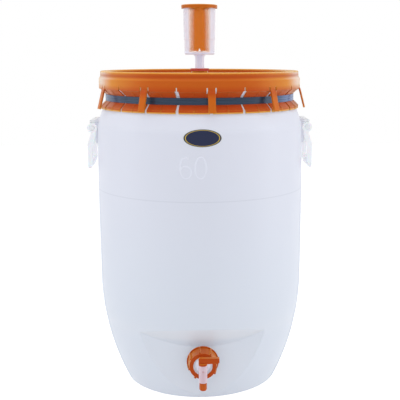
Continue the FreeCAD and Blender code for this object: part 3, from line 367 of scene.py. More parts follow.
def build_moulded_group():
    """Moulded plastic: cloudy colour, uneven gloss and a fine skin."""
    group, given, made = new_group(
        "Moulded plastic",
        [
            ("Colour", "NodeSocketColor", (0.8, 0.8, 0.8, 1.0)),
            ("Cloud", "NodeSocketFloat", 0.05),
            ("Cloud Scale", "NodeSocketFloat", 12.0),
            ("Roughness", "NodeSocketFloat", 0.4),
            ("Roughness Spread", "NodeSocketFloat", 0.08),
            ("Skin Scale", "NodeSocketFloat", 900.0),
        ],
        [("Colour", "NodeSocketColor"), ("Roughness", "NodeSocketFloat"), ("Height", "NodeSocketFloat")],
    )
    place = object_place(group)
    cloud = noise(group, place, given.outputs["Cloud Scale"], 4.0, 0.55)
    gain = math_node(group, "ADD", about_zero(group, cloud, given.outputs["Cloud"]), 1.0)
    bright = group.nodes.new("ShaderNodeCombineColor")
    for channel in range(3):
        feed(group, bright.inputs[channel], gain)
    colour = mix_colour(group, 1.0, given.outputs["Colour"], bright.outputs[0], "MULTIPLY")
    patches = noise(group, place, 60.0, 3.0, 0.6)
    spread = about_zero(group, patches, given.outputs["Roughness Spread"])
    rough = math_node(group, "ADD", given.outputs["Roughness"], spread)
    skin = noise(group, place, given.outputs["Skin Scale"], 2.0)
    for socket, value in (("Colour", colour), ("Roughness", rough), ("Height", skin)):
        feed(group, made.inputs[socket], value)
    return group


def build_scuff_group():
    """Faint handling marks: a mask of short fine streaks."""
    group, given, made = new_group(
        "Handling marks",
        [("Scale", "NodeSocketFloat", 30.0), ("Amount", "NodeSocketFloat", 0.3)],
        [("Mask", "NodeSocketFloat")],
    )
    place = stretched_place(group, (1.0, 1.0, 9.0), (0.3, 0.9, 0.4))
    streaks = noise(group, place, given.outputs["Scale"], 6.0, 0.7)
    high = math_node(group, "SUBTRACT", streaks, 0.60, clamp=True)
    mask = product(group, product(group, high, 6.0), given.outputs["Amount"], clamp=True)
    feed(group, made.inputs["Mask"], mask)
    return group


def build_line_group():
    """A level line round the object at one height: a mask that fades over its width."""
    group, given, made = new_group(
        "Level line",
        [("Level", "NodeSocketFloat", 0.38), ("Width", "NodeSocketFloat", 0.001)],
        [("Mask", "NodeSocketFloat")],
    )
    height = split_vector(group, object_place(group))["Z"]
    away = math_node(group, "ABSOLUTE", math_node(group, "SUBTRACT", height, given.outputs["Level"]))
    share = math_node(group, "DIVIDE", away, given.outputs["Width"])
    feed(group, made.inputs["Mask"], math_node(group, "SUBTRACT", 1.0, share, clamp=True))
    return group


def build_step_group():
    """A mask that rises from 0 to 1 between two places along a direction."""
    group, given, made = new_group(
        "Step along",
        [
            ("Direction", "NodeSocketVector", UP),
            ("From", "NodeSocketFloat", 0.0),
            ("To", "NodeSocketFloat", 1.0),
        ],
        [("Mask", "NodeSocketFloat")],
    )
    along = vector_node(group, "DOT_PRODUCT", object_place(group), given.outputs["Direction"])["Value"]
    mask = smooth_span(group, along, given.outputs["From"], given.outputs["To"])
    feed(group, made.inputs["Mask"], mask)
    return group


def build_edge_group():
    """Edges of thin mouldings: a mask that is strong where the surface turns sharply."""
    group, given, made = new_group(
        "Moulding edges",
        [("Radius", "NodeSocketFloat", 0.001), ("Gain", "NodeSocketFloat", 4.0)],
        [("Mask", "NodeSocketFloat"), ("Normal", "NodeSocketVector")],
    )
    soft = group.nodes.new("ShaderNodeBevel")
    soft.samples = 6
    feed(group, soft.inputs["Radius"], given.outputs["Radius"])
    plain = group.nodes.new("ShaderNodeNewGeometry").outputs["Normal"]
    meet = vector_node(group, "DOT_PRODUCT", soft.outputs[0], plain)["Value"]
    away = math_node(group, "SUBTRACT", 0.94, meet, clamp=True)
    feed(group, made.inputs["Mask"], product(group, away, given.outputs["Gain"], clamp=True))
    feed(group, made.inputs["Normal"], soft.outputs[0])
    return group


GROUP_BUILDERS = {
    "Moulded plastic": build_moulded_group,
    "Handling marks": build_scuff_group,
    "Level line": build_line_group,
    "Step along": build_step_group,
    "Moulding edges": build_edge_group,
}


def place_group(tree, name, values):
    """The outputs of a shared group, which is built when it is first needed."""
    node = tree.nodes.new("ShaderNodeGroup")
    node.node_tree = bpy.data.node_groups.get(name) or GROUP_BUILDERS[name]()
    set_values(node, values)
    return node.outputs


def step_mask(tree, start, end, direction=UP):
    """A mask that rises from 0 to 1 between two places along a direction."""
    return place_group(tree, "Step along", {"Direction": direction, "From": start, "To": end})["Mask"]


def line_mask(tree, level, width):
    """A mask of a level line, which fades over its width."""
    return place_group(tree, "Level line", {"Level": level, "Width": width})["Mask"]


def outside_mask(tree, start, end):
    """A mask that rises from 0 to 1 between two distances from the object's upright axis."""
    flat = vector_node(tree, "MULTIPLY", object_place(tree), (1.0, 1.0, 0.0))[0]
    return smooth_span(tree, vector_node(tree, "LENGTH", flat)["Value"], start, end)


def facing_away(tree):
    """How far the surface turns away from the view, from 0 to 1."""
    facing = tree.nodes.new("ShaderNodeLayerWeight")
    facing.inputs["Blend"].default_value = 0.5
    return facing.outputs["Facing"]


def turned_away(tree, start, end, amount=1.0):
    """A mask that rises as the surface turns away from the view, from one share to another."""
    return smooth_span(tree, facing_away(tree), start, end, amount)


def bare_material(name):
    material = bpy.data.materials.new(name)
    material.use_nodes = True
    shader = material.node_tree.nodes["Principled BSDF"]
    return material, material.node_tree, shader


def bump(tree, shader, height, strength, distance):
    """A fine relief, kept on the shader's normal."""
    node = tree.nodes.new("ShaderNodeBump")
    set_values(node, {"Strength": strength, "Distance": distance})
    feed(tree, node.inputs["Height"], height)
    feed(tree, shader.inputs["Normal"], node.outputs["Normal"])


def moulded_material(name, colour, roughness, cloud=0.04, cloud_scale=12.0, marks=0.0, spread=0.06):
    """A moulded plastic finish: the material, its tree, its shader and its clouded colour."""
    material, tree, shader = bare_material(name)
    finish = place_group(tree, "Moulded plastic", {
        "Colour": (*colour, 1.0),
        "Cloud": cloud,
        "Cloud Scale": cloud_scale,
        "Roughness": roughness,
        "Roughness Spread": spread,
    })
    feed(tree, shader.inputs["Base Color"], finish["Colour"])
    rough = finish["Roughness"]
    if marks:
        scuffs = place_group(tree, "Handling marks", {"Amount": marks})["Mask"]
        rough = math_node(tree, "ADD", rough, product(tree, scuffs, 0.25))
    feed(tree, shader.inputs["Roughness"], rough)
    bump(tree, shader, finish["Height"], 0.4, 0.00002)
    return material, tree, shader, finish["Colour"]


def soften_edges(tree, shader, radius, gain):
    """Round the shading of edges over a radius, and give the mask of those edges."""
    edges = place_group(tree, "Moulding edges", {"Radius": radius, "Gain": gain})
    relief = shader.inputs["Normal"].links[0].from_node
    feed(tree, relief.inputs["Normal"], edges["Normal"])
    return edges["Mask"]


def warm_plastic(tree, shader, colour, edge_highlight, radius, highlight_share=0.8):
    """Orange polyethylene: warm reflections, a warm sheen where it turns away, and a painted yellow highlight
    along its edges.
    """
    set_values(shader, {
        "Specular Tint": WARM_GLOSS,
        "Sheen Weight": 0.6,
        "Sheen Roughness": 0.3,
        "Sheen Tint": WARM_SHEEN,
    })
    edges = soften_edges(tree, shader, radius, 5.0)
    # Painted highlight: yellow along the edges.
    feed(tree, shader.inputs["Base Color"], tint(tree, colour, edges, highlight_share, edge_highlight))


def let_light_through(tree, shader, share=MILKY_SHARE):
    """Translucent plastic: part of the light that it would block goes on through it."""
    path = tree.nodes.new("ShaderNodeLightPath")
    blocked = math_node(tree, "MAXIMUM", path.outputs["Is Shadow Ray"], path.outputs["Is Diffuse Ray"])
    feed(tree, shader.inputs["Alpha"], math_node(tree, "SUBTRACT", 1.0, product(tree, blocked, share)))


def scatter_light(shader, weight, scale, radius=None):
    """Light that spreads under the plastic's surface."""
    set_values(shader, {"Subsurface Weight": weight, "Subsurface Scale": scale})
    if radius:
        shader.inputs["Subsurface Radius"].default_value = radius


def frosted_material(name, colour, roughness, face_alpha, edge_alpha, veil=(0.0, 1.0), thick_below=None,
                     painted_through=None):
    """Thin frosted plastic with a faint painted glow of its own colour, denser where it turns away and below
    a height, painted with the glow of what it holds where it faces the view.
    """
    material, tree, shader, plain = moulded_material(name, colour, roughness, cloud=0.03, cloud_scale=40.0)
    # Painted light: a faint glow of the plastic's own colour.
    set_values(shader, {"Emission Color": (*colour, 1.0), "Emission Strength": 0.12})
    alpha = math_node(tree, "ADD", turned_away(tree, *veil, edge_alpha - face_alpha), face_alpha, clamp=True)
    if thick_below:
        solid = step_mask(tree, thick_below + STEM_BLEND, thick_below)
        alpha = math_node(tree, "ADD", alpha, product(tree, solid, 0.75), clamp=True)
        clear = math_node(tree, "MAXIMUM", turned_away(tree, 0.12, 0.36), solid)
        # Painted glow of what the cup holds, seen through it where it faces the view.
        tinted = mix_colour(tree, clear, painted_through, plain)
        feed(tree, shader.inputs["Base Color"], tinted)
        feed(tree, shader.inputs["Emission Color"], tinted)
    feed(tree, shader.inputs["Alpha"], alpha)
    return material


def barrel_material():
    """Milky barrel: painted shade towards its foot, painted light in the recess and on the lugs, a seam, and
    painted shade along its outline.
    """
    material, tree, shader, plain = moulded_material(
        "barrel plastic", tuple(colours().barrel), 0.42, cloud=0.025, cloud_scale=7.0, marks=0.2,
    )
    # Painted shade: the barrel turns darker and cooler towards its foot.
    colour = mix_colour(tree, step_mask(tree, *FOOT_SHADE_HEIGHTS), (*colours().barrel_foot_shade, 1.0), plain)
    normal = split_vector(tree, tree.nodes.new("ShaderNodeNewGeometry").outputs["Normal"])
    to_front = product(tree, math_node(tree, "SUBTRACT", -0.90, normal["Y"], clamp=True), 10.0)
    # Painted light: the front-facing flat at the back of the recess is lightened.
    recess = product(tree, step_mask(tree, *RECESS_DEPTHS, BACK), to_front, clamp=True)
    colour = tint(tree, colour, recess, 0.2, RECESS_PAINTED_LIGHT)
    to_floor = product(tree, math_node(tree, "SUBTRACT", -0.10, normal["Z"], clamp=True), 4.0)
    ledge = product(tree, to_floor, step_mask(tree, *LEDGE_RISE), clamp=True)
    ledge = product(tree, ledge, step_mask(tree, *LEDGE_END))
    colour = tint(tree, colour, ledge, 0.35, LEDGE_LIT)
    for side in (LEFT, RIGHT):
        colour = mix_colour(tree, step_mask(tree, *LUG_REACH, side), colour, LUG_LIT)
    colour = tint(tree, colour, line_mask(tree, SEAM_LEVEL, SEAM_WIDTH), 0.25, SEAM)
    # Painted shade: the barrel's lower part darkens towards its outline, where it turns away from the view.
    outline = turned_away(tree, 0.78, 0.98, 0.6)
    colour = tint(tree, colour, outline, step_mask(tree, *EDGE_SHADE_END), BARREL_EDGE_SHADE)
    feed(tree, shader.inputs["Base Color"], colour)
    soften_edges(tree, shader, 0.0032, 1.0)
    let_light_through(tree, shader)
    scatter_light(shader, 0.12, 0.006, (0.9, 0.95, 1.0))
    shader.inputs["IOR"].default_value = 1.5
    return material


# Painted light: the barrel's colour made lighter, for the number's relief and the handles' thin mouldings.
def barrel_painted_lighter(gain):
    return tuple(min(1.0, gain * channel) for channel in colours().barrel)


def number_material():
    """The raised capacity number: the barrel's plastic, a touch lighter, as relief catches the light."""
    material, tree, shader, _ = moulded_material(
        "number plastic", barrel_painted_lighter(1.07), 0.42, cloud=0.02, cloud_scale=20.0,
    )
    let_light_through(tree, shader)
    return material


def handle_material():
    """The handles: the barrel's plastic in thin mouldings, which let more light through, painted lighter and
    given a faint bluish glow as painted light.
    """
    material, tree, shader, _ = moulded_material(
        "handle plastic", barrel_painted_lighter(1.17), 0.38, cloud=0.03, cloud_scale=25.0,
    )
    scatter_light(shader, 0.15, 0.004)
    # Painted light: a faint bluish glow, though the handles are no lamp.
    set_values(shader, {"Emission Color": (0.78, 0.88, 1.0, 1.0), "Emission Strength": 0.08})
    let_light_through(tree, shader)
    return material


def lid_material():
    """Orange lid: a rim painted lighter, with a painted shade band, a painted highlight on its lip and
    painted sheen and glare where it turns away; painted shade under the rim, painted light on the tabs, and
    painted highlights at the flaps' ends and along the edges.
    """
    material, tree, shader, colour = moulded_material(
        "lid orange", tuple(colours().lid), 0.36, cloud=0.06, cloud_scale=16.0, marks=0.35, spread=0.07,
    )
    scatter_light(shader, 0.10, 0.002, (1.0, 0.35, 0.1))
    top, foot = LID_HIGH.z, LID_LOW.z
    raised = step_mask(tree, *(top - depth for depth in RIM_BLEND))
    low = step_mask(tree, *(foot + height for height in FLAP_FOOT))
    below_rim = step_mask(tree, *(top - depth for depth in UNDER_RIM_START))
    under = product(tree, below_rim, step_mask(tree, *(top - depth for depth in UNDER_RIM_END)))
    # Painted light: the raised rim is lighter than the flaps.
    colour = mix_colour(tree, raised, colour, (*colours().rim, 1.0))
    # Painted sheen: yellow orange where the rim turns away from the view.
    colour = tint(tree, colour, turned_away(tree, 0.10, 0.62, 0.85),
                  math_node(tree, "ADD", raised, 0.2, clamp=True), RIM_PAINTED_SHEEN)
    # Painted shade under the rim, on the flaps' upper parts.
    colour = tint(tree, colour, under, 0.55, UNDER_RIM_SHADE)
    colour = tint(tree, colour, product(tree, outside_mask(tree, *TAB_REACH), below_rim), 0.7, TAB_LIT)
    colour = tint(tree, colour, turned_away(tree, 0.50, 0.84, 0.9), raised, RIM_GLARE)
    # Painted shade: a dark red band below the lip.
    colour = tint(tree, colour, line_mask(tree, top - LIP_BAND_DEPTH, LIP_BAND_WIDTH), 0.75, LIP_PAINTED_SHADE)
    # Painted highlight: a yellow line along the lip.
    colour = tint(tree, colour, line_mask(tree, top - LIP_LINE_DEPTH, LIP_LINE_WIDTH), 0.9, LIP_HIGHLIGHT)
    # Painted highlight: a yellow line along the flaps' lower ends.
    colour = tint(tree, colour, line_mask(tree, foot + FLAP_END_HEIGHT, FLAP_END_WIDTH), 0.9, FLAP_END_HIGHLIGHT)
    shown = math_node(tree, "ADD", math_node(tree, "MAXIMUM", raised, low), 0.2, clamp=True)
    warm_plastic(tree, shader, colour, LID_EDGE_HIGHLIGHT, 0.0032, product(tree, shown, 0.85))
    let_light_through(tree, shader, LID_SHARE)
    return material


def tap_material():
    material, tree, shader, colour = moulded_material(
        "tap orange", tuple(colours().tap), 0.30, cloud=0.05, cloud_scale=60.0, marks=0.2,
    )
    scatter_light(shader, 0.08, 0.0015, (1.0, 0.3, 0.1))
    # Painted sheen: lighter orange where the tap turns away from the view.
    colour = mix_colour(tree, turned_away(tree, 0.35, 0.80, 0.9), colour, TAP_PAINTED_SHEEN)
    warm_plastic(tree, shader, colour, TAP_EDGE_HIGHLIGHT, 0.0009, 0.6)
    let_light_through(tree, shader)
    return material


def tap_clear_material():
    """The tap's clear body, whose flange behind the tube is paler."""
    material = frosted_material("tap clear", (0.78, 0.62, 0.69), 0.35, face_alpha=0.60, edge_alpha=0.95)
    tree = material.node_tree
    target = tree.nodes["Principled BSDF"].inputs["Base Color"]
    behind_tube = TAP_AXIS.y + FLANGE_OFFSET
    flange = step_mask(tree, behind_tube, behind_tube + FLANGE_BLEND, BACK)
    feed(tree, target, mix_colour(tree, flange, target.links[0].from_socket, FLANGE_CLEAR))
    return material


def wave(tree, value, turns):
    """A wave from 0 to 1 that follows a value, with its crests kept narrow."""
    crest = product(tree, math_node(tree, "COSINE", product(tree, value, turns)), 0.5)
    return math_node(tree, "POWER", math_node(tree, "ADD", crest, 0.5), 4.0)


def spout_material(low, high):
    """The spout's fluted sleeve: the tap's orange, lit along its flutes and rings."""
    material, tree, shader, colour = moulded_material("spout orange", tuple(colours().tap), 0.34)
    place = split_vector(tree, object_place(tree))
    angle = math_node(tree, "ARCTAN2", math_node(tree, "SUBTRACT", place["Y"], TAP_AXIS.y),
                      math_node(tree, "SUBTRACT", place["X"], TAP_AXIS.x))
    rings = wave(tree, math_node(tree, "SUBTRACT", place["Z"], low), 2 * math.pi * FLUTE_RINGS / (high - low))
    grid = math_node(tree, "MAXIMUM", wave(tree, angle, FLUTES), rings)
    feed(tree, shader.inputs["Base Color"], tint(tree, colour, grid, 0.6, FLUTE_LIT))
    shader.inputs["Specular Tint"].default_value = WARM_GLOSS
    let_light_through(tree, shader)
    return material


def cap_material():
    """Frosted orange cap with a painted highlight on top, and a painted orange glow on its bell, which thins
    out inside the cup.
    """
    material, tree, shader, colour = moulded_material(
        "airlock cap orange", tuple(colours().cap), 0.42, cloud=0.08, cloud_scale=45.0,
    )
    scatter_light(shader, 0.2, 0.002, (1.0, 0.5, 0.15))
    # Painted highlight: yellow on the cap's top.
    top = step_mask(tree, *(CAP_HIGH.z - depth for depth in CAP_TOP_DEPTHS))
    warm_plastic(tree, shader, mix_colour(tree, top, colour, CAP_TOP_HIGHLIGHT), CAP_EDGE_HIGHLIGHT, 0.0016)
    bell = step_mask(tree, *(CUP_HIGH.z - depth for depth in BELL_DEPTHS))
    # Painted light: an orange glow on the bell.
    feed(tree, shader.inputs["Emission Color"], mix_colour(tree, bell, BLACK, BELL_PAINTED_GLOW))
    shader.inputs["Emission Strength"].default_value = 0.22
    away = math_node(tree, "ADD", facing_away(tree), 0.01)
    dense = product(tree, math_node(tree, "POWER", away, -0.84), 0.13, clamp=True)
    faded = product(tree, math_node(tree, "SUBTRACT", 1.0, dense), bell)
    feed(tree, shader.inputs["Alpha"], math_node(tree, "SUBTRACT", 1.0, faded, clamp=True))
    return material


def rubber_material(name, colour):
    return moulded_material(name, colour, 0.62, cloud=0.08, cloud_scale=80.0)[0]


def grained_metal(tree, shader, stretch, scale, roughness, rough_gain, rough_low, metallic):
    """A grain drawn out round the object, which also drives the gloss."""
    grain = noise(tree, stretched_place(tree, (1.0, 1.0, stretch)), scale, 5.0, roughness)
    feed(tree, shader.inputs["Roughness"],
         math_node(tree, "ADD", product(tree, grain, rough_gain), rough_low))
    shader.inputs["Metallic"].default_value = metallic
    return grain


def strap_material():
    """Dark slate strap, bluer where it turns away, above all on the right."""
    material, tree, shader = bare_material("strap finish")
    rolled = grained_metal(tree, shader, 40.0, 18.0, 0.6, 0.16, 0.20, 0.2)
    light = tuple(min(1.0, 1.5 * channel) for channel in colours().strap) + (1.0,)
    steel = mix_colour(tree, rolled, (*colours().strap, 1.0), light)
    to_right = math_node(tree, "ADD", step_mask(tree, 0.0, 0.15, RIGHT), 0.3, clamp=True)
    feed(tree, shader.inputs["Base Color"],
         tint(tree, steel, turned_away(tree, 0.30, 0.70), to_right, STRAP_LIT))
    set_values(shader, {
        "Specular Tint": (0.62, 0.78, 1.0, 1.0),
        "Sheen Weight": 0.12,
        "Sheen Roughness": 0.35,
        "Sheen Tint": (0.45, 0.62, 1.0, 1.0),
    })
    bump(tree, shader, rolled, 0.25, 0.00005)
    return material


def steel_material():
    """Brushed steel of the strap's clamp."""
    material, tree, shader = bare_material("clamp steel")
    brushed = grained_metal(tree, shader, 25.0, 60.0, 0.65, 0.22, 0.22, 1.0)
    feed(tree, shader.inputs["Base Color"], mix_colour(tree, brushed, STEEL_DARK, STEEL_LIGHT))
    bump(tree, shader, brushed, 0.3, 0.00004)
    return material


def label_material():
    """Printed film: a dark oval field, a thin yellow keyline and a pale edge."""
    material, tree, shader = bare_material("label film")
    middle = (LABEL_LOW + LABEL_HIGH) / 2
    half = (LABEL_HIGH - LABEL_LOW) / 2
    place = split_vector(tree, object_place(tree))
    across = math_node(tree, "DIVIDE", math_node(tree, "SUBTRACT", place["X"], middle.x), half.x)
    up = math_node(tree, "DIVIDE", math_node(tree, "SUBTRACT", place["Z"], middle.z), half.z)
    squares = math_node(tree, "ADD", math_node(tree, "POWER", across, 2.0), math_node(tree, "POWER", up, 2.0))
    reach = math_node(tree, "SQRT", squares)
    ink = noise(tree, object_place(tree), 400.0, 2.0)
    dark = (*colours().label, 1.0)
    colour = tint(tree, dark, ink, 0.08, INK_LIGHT)
    for start, band in ((KEYLINE_START, KEYLINE), (KEYLINE_END, dark), (PALE_EDGE_START, PALE_EDGE)):
        colour = mix_colour(tree, math_node(tree, "GREATER_THAN", reach, start), colour, band)
    feed(tree, shader.inputs["Base Color"], colour)
    feed(tree, shader.inputs["Roughness"], math_node(tree, "ADD", product(tree, ink, 0.06), 0.34))
    shader.inputs["Specular IOR Level"].default_value = 0.3
    bump(tree, shader, ink, 0.1, 0.00001)
    return material


def dress(node, material, angle=35.0):
    """Give a carried-over node its material and smooth shading up to an angle."""
    thing = frame["nodes"][node]
    thing.data.materials.clear()
    thing.data.materials.append(material)
    thing.data.shade_smooth()
    thing.data.set_sharp_from_angle(angle=math.radians(angle))
    return thing


def mesh_piece(name, points, faces, material, body):
    """A new piece from points and faces, riding on a body."""
    mesh = bpy.data.meshes.new(name)
    mesh.from_pydata([tuple(point) for point in points], [], faces)
    mesh.update()
    work = bmesh.new()
    work.from_mesh(mesh)
    bmesh.ops.recalc_face_normals(work, faces=work.faces)
    work.to_mesh(mesh)
    work.free()
    mesh.shade_smooth()
    mesh.materials.append(material)
    piece = bpy.data.objects.new(name, mesh)
    bpy.context.scene.collection.objects.link(piece)
    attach(piece, body)


def ellipse_path(middle_x, middle_z, half_width, half_height, start, end, steps):
    """Points along an ellipse's arc from start to end, in degrees."""
    points = []
    for step in range(steps + 1):
        angle = math.radians(start + (end - start) * step / steps)
        points.append((middle_x + half_width * math.cos(angle), middle_z + half_height * math.sin(angle)))
    return points


def relief_stroke(name, path, closed, radius, half_width, relief, material):
    """A rounded raised stroke that follows a path over the front of the barrel's wall."""
    profile_steps = 6
    end_taper = 0.35
    sunk_share = 0.3
    points = []
    count = len(path)
    places = [Vector((x, -math.sqrt(radius * radius - x * x), z)) for x, z in path]
    for index, place in enumerate(places):
        ahead = places[(index + 1) % count] if closed or index + 1 < count else place
        behind = places[index - 1] if closed or index else place
        along = (ahead - behind).normalized()
        outwards = Vector((place.x, place.y, 0.0)).normalized()
        sideways = along.cross(outwards).normalized()
        taper = end_taper if not closed and index in (0, count - 1) else 1.0
        for step in range(profile_steps + 1):
            angle = math.pi * step / profile_steps
            points.append(
                place
                + sideways * (half_width * taper * math.cos(angle))
                + outwards * (relief * taper * math.sin(angle) - relief * sunk_share)
            )
    row = profile_steps + 1
    faces = []
    spans = count if closed else count - 1
    for index in range(spans):
        start = index * row
        end = ((index + 1) % count) * row
        for step in range(profile_steps):
            faces.append((start + step, start + step + 1, end + step + 1, end + step))
        faces.append((start + profile_steps, start, end, end + profile_steps))
    if not closed:
        faces.append(tuple(range(row)))
        faces.append(tuple(range((count - 1) * row, count * row)))
    mesh_piece(name, points, faces, material, "vessel")


class FERMENTER_OT_barrel(bpy.types.Operator):
    """Finish the barrel and add its moulded capacity number"""

    bl_idname = "fermenter.barrel"
    bl_label = "Barrel"

    def execute(self, context):
        dress("barrel", barrel_material(), 40.0)
        settings = sizes()
        half_width = settings.digit_width / 2
        half_height = settings.digit_height / 2
        level = settings.digit_middle
        loop_height = half_height * 0.57
        loop_level = level - half_height + loop_height
        six = ellipse_path(SIX_MIDDLE, level, half_width, half_height, 55, 270, 30)
        six += ellipse_path(SIX_MIDDLE, loop_level, half_width, loop_height, 276, 540, 36)
        nought = ellipse_path(NOUGHT_MIDDLE, level, half_width, half_height, 0, 354, 59)
        shared = (settings.wall_radius, settings.digit_stroke, settings.digit_relief, number_material())
        relief_stroke("capacity_six", six, False, *shared)
        relief_stroke("capacity_nought", nought, True, *shared)
        return {"FINISHED"}


class FERMENTER_OT_handles(bpy.types.Operator):
    """Finish the two handles"""

    bl_idname = "fermenter.handles"
    bl_label = "Handles"

    def execute(self, context):
        material = handle_material()
        for node in ("handle_right", "handle_left"):
            dress(node, material, 40.0)
        return {"FINISHED"}


class FERMENTER_OT_lid(bpy.types.Operator):
    """Finish the lid and its gasket"""

    bl_idname = "fermenter.lid"
    bl_label = "Lid"

    def execute(self, context):
        dress("lid", lid_material(), 30.0)
        dress("lid_gasket", rubber_material("gasket rubber", (0.03, 0.03, 0.032)))
        return {"FINISHED"}


class FERMENTER_OT_strap(bpy.types.Operator):
    """Finish the strap and its clamp"""

    bl_idname = "fermenter.strap"
    bl_label = "Strap and clamp"

    def execute(self, context):
        dress("strap", strap_material(), 30.0)
        steel = steel_material()
        for node in ("clamp_housing", "clamp_screw"):
            dress(node, steel, 30.0)
        return {"FINISHED"}


class FERMENTER_OT_airlock(bpy.types.Operator):
    """Finish the airlock and its grommet"""

    bl_idname = "fermenter.airlock"
    bl_label = "Airlock"

    def execute(self, context):
        dress("airlock_grommet", rubber_material("grommet rubber", (0.55, 0.05, 0.018)))
        clear = frosted_material(
            "airlock clear", (0.86, 0.88, 1.0), 0.34, face_alpha=0.03, edge_alpha=0.44, veil=(0.03, 0.34),
            thick_below=GROMMET_HIGH.z + STEM_HEIGHT, painted_through=BELL_PAINTED_THROUGH_CUP,
        )
        dress("airlock_cup", clear, 40.0)
        dress("airlock_cap", cap_material())
        return {"FINISHED"}


def ring_points(level, reaches):
    """Points of a level ring about the tap's axis, one for each distance from the axis."""
    points = []
    for step, reach in enumerate(reaches):
        angle = 2 * math.pi * step / len(reaches)
        points.append(
            Vector((TAP_AXIS.x + reach * math.cos(angle), TAP_AXIS.y + reach * math.sin(angle), level))
        )
    return points


def ring_faces(first, second, steps):
    """Faces between two rings, given by the numbers of their first points."""
    faces = []
    for step in range(steps):
        after = (step + 1) % steps
        faces.append((first + step, first + after, second + after, second + step))
    return faces


def spout_flutes():
    """The finely grooved sleeve of the spout tip: upright flutes crossed by level rings."""
    depth = sizes().flute_depth
    low = PLUG_LOW.z + 0.0024
    high = TUBE_LOW.z - 0.0012
    around = 144
    rows = FLUTE_RINGS * 6
    sunk_share = 0.1
    points = []
    flutes = [0.5 + 0.5 * math.cos(FLUTES * (2 * math.pi * step / around)) for step in range(around)]
    for row in range(rows + 1):
        share = row / rows
        ring = 0.5 + 0.5 * math.cos(2 * math.pi * FLUTE_RINGS * share)
        reaches = [SPOUT_RADIUS + depth * (max(flute, ring) - sunk_share) for flute in flutes]
        points += ring_points(low + (high - low) * share, reaches)
    for level in (low, high):
        points += ring_points(level, [SPOUT_RADIUS - depth * 2] * around)
    faces = []
    for row in range(rows):
        faces += ring_faces(row * around, (row + 1) * around, around)
    inner_low = (rows + 1) * around
    inner_high = inner_low + around
    faces += ring_faces(0, inner_low, around)
    faces += ring_faces(rows * around, inner_high, around)
    faces += ring_faces(inner_low, inner_high, around)
    mesh_piece("spout_flutes", points, faces, spout_material(low, high), "plug")


class FERMENTER_OT_tap(bpy.types.Operator):
    """Finish the tap: nut, clear body, gasket and plug"""

    bl_idname = "fermenter.tap"
    bl_label = "Tap"

    def execute(self, context):
        orange = tap_material()
        dress("tap_nut", orange, 30.0)
        dress("tap_plug", orange, 30.0)
        dress("tap_gasket", rubber_material("tap gasket rubber", (0.03, 0.03, 0.032)))
        dress("tap_body", tap_clear_material())
        spout_flutes()
        return {"FINISHED"}


class FERMENTER_OT_label(bpy.types.Operator):
    """Finish the oval label"""

    bl_idname = "fermenter.label"
    bl_label = "Label"

    def execute(self, context):
        dress("label", label_material())
        return {"FINISHED"}


def area_lamp(name, place, target, width, height, power):
    lamp = bpy.data.lights.new(name, "AREA")
    lamp.shape = "RECTANGLE"
    lamp.size = width
    lamp.size_y = height
    lamp.energy = power
    thing = bpy.data.objects.new(name, lamp)
    thing.location = place
    thing.rotation_euler = (Vector(target) - Vector(place)).to_track_quat("-Z", "Y").to_euler()
    bpy.context.scene.collection.objects.link(thing)


def seen_rays(tree):
    """1 for rays that show a surface, straight on or by gloss and clear plastic, and 0 for the rest."""
    path = tree.nodes.new("ShaderNodeLightPath")
    glossy = math_node(tree, "MAXIMUM", path.outputs["Is Glossy Ray"], path.outputs["Is Transmission Ray"])
    return math_node(tree, "MAXIMUM", path.outputs["Is Camera Ray"], glossy)


def mix_shaders(tree, factor, first, second):
    blend = tree.nodes.new("ShaderNodeMixShader")
    feed(tree, blend.inputs["Fac"], factor)
    feed(tree, blend.inputs[1], first)
    feed(tree, blend.inputs[2], second)
    return blend.outputs[0]


def white_where_seen(tree, lit):
    """The floor as seen: plain white, darkened only where the object shades it."""
    glow = tree.nodes.new("ShaderNodeEmission")
    glow.inputs["Strength"].default_value = 0.55
    both = tree.nodes.new("ShaderNodeAddShader")
    feed(tree, both.inputs[0], lit)
    feed(tree, both.inputs[1], glow.outputs[0])
    return mix_shaders(tree, seen_rays(tree), lit, both.outputs[0])


def add_camera(scene, settings):
    camera = bpy.data.objects.new("camera", bpy.data.cameras.new("camera"))
    camera.data.sensor_width = 36.0
    camera.data.lens = settings.camera_lens
    camera.data.shift_x = settings.camera_shift
    around = Matrix.Rotation(settings.camera_azimuth, 4, "Z")
    place = Matrix.Translation((settings.camera_offset, -settings.camera_distance, settings.camera_height))
    tilt = Matrix.Rotation(math.pi / 2 - settings.camera_pitch, 4, "X")
    camera.matrix_world = around @ place @ tilt
    scene.collection.objects.link(camera)
    scene.camera = camera


def add_floor(context):
    bpy.ops.mesh.primitive_plane_add(size=8.0, location=(0.0, 0.0, -0.0005))
    floor = context.active_object
    floor.name = "floor"
    material, tree, shader = bare_material("floor white")
    grain = noise(tree, object_place(tree), 3.0)
    feed(tree, shader.inputs["Base Color"],
         mix_colour(tree, grain, (0.90, 0.90, 0.90, 1.0), (0.94, 0.94, 0.94, 1.0)))
    shader.inputs["Roughness"].default_value = 0.8
    feed(tree, tree.nodes["Material Output"].inputs["Surface"], white_where_seen(tree, shader.outputs[0]))
    floor.data.materials.append(material)


def add_lamps(settings):
    low_aim = (0.0, 0.0, 0.35)
    for side in (-1, 1):
        area_lamp(f"side lamp {side}", (side * 1.25, -0.25, 0.75), low_aim, 0.5, 1.6,
                  settings.side_power * (1.0 + 0.2 * side))
    area_lamp("key lamp", (-0.5, -1.9, 1.9), low_aim, 1.4, 1.0, settings.key_power)
    area_lamp("top lamp", (-0.1, -0.45, 1.75), (0.0, -0.1, 0.6), 1.0, 0.8, settings.top_power)


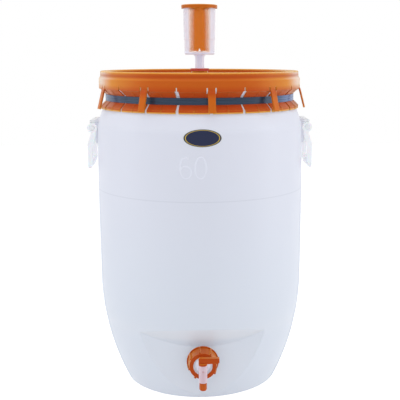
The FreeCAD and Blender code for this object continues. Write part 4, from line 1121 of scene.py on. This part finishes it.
def add_sky(scene, settings):
    """An even light from all round, which shows as white."""
    world = bpy.data.worlds.new("studio")
    world.use_nodes = True
    scene.world = world
    tree = world.node_tree
    sky = tree.nodes["Background"]
    set_values(sky, {"Color": (0.97, 0.98, 1.0, 1.0), "Strength": settings.sky_strength})
    white = tree.nodes.new("ShaderNodeBackground")
    white.inputs["Color"].default_value = WHITE
    shown = mix_shaders(tree, seen_rays(tree), sky.outputs[0], white.outputs[0])
    feed(tree, tree.nodes["World Output"].inputs["Surface"], shown)


class FERMENTER_OT_stage(bpy.types.Operator):
    """Set up the camera, the floor, the lamps and the sky"""

    bl_idname = "fermenter.stage"
    bl_label = "Stage"

    def execute(self, context):
        settings = stage_settings()
        add_camera(context.scene, settings)
        add_floor(context)
        add_lamps(settings)
        add_sky(context.scene, settings)
        context.scene.view_settings.view_transform = "Standard"
        return {"FINISHED"}


STEPS = (
    FERMENTER_OT_barrel,
    FERMENTER_OT_handles,
    FERMENTER_OT_lid,
    FERMENTER_OT_strap,
    FERMENTER_OT_airlock,
    FERMENTER_OT_tap,
    FERMENTER_OT_label,
    FERMENTER_OT_stage,
)


class FERMENTER_PT_panel(bpy.types.Panel):
    """Lists the fermenter's steps and settings"""

    bl_idname = "FERMENTER_PT_panel"
    bl_label = "Plastic fermenter"
    bl_space_type = "VIEW_3D"
    bl_region_type = "UI"
    bl_category = "Fermenter"

    def draw(self, context):
        layout = self.layout
        for step in STEPS:
            layout.operator(step.bl_idname)
        for settings in (sizes(), colours(), stage_settings()):
            column = layout.column()
            for field in settings.__annotations__:
                column.prop(settings, field)


CLASSES = (FermenterSizes, FermenterColours, StageSettings, *STEPS, FERMENTER_PT_panel)


def register():
    for item in CLASSES:
        bpy.utils.register_class(item)
    bpy.types.Scene.fermenter_sizes = bpy.props.PointerProperty(type=FermenterSizes)
    bpy.types.Scene.fermenter_colours = bpy.props.PointerProperty(type=FermenterColours)
    bpy.types.Scene.fermenter_stage = bpy.props.PointerProperty(type=StageSettings)


def unregister():
    del bpy.types.Scene.fermenter_stage
    del bpy.types.Scene.fermenter_colours
    del bpy.types.Scene.fermenter_sizes
    for item in reversed(CLASSES):
        bpy.utils.unregister_class(item)


def main():
    register()
    bpy.ops.fermenter.barrel()
    bpy.ops.fermenter.handles()
    bpy.ops.fermenter.lid()
    bpy.ops.fermenter.strap()
    bpy.ops.fermenter.airlock()
    bpy.ops.fermenter.tap()
    bpy.ops.fermenter.label()
    bpy.ops.fermenter.stage()


if __name__ == "__main__":
    main()
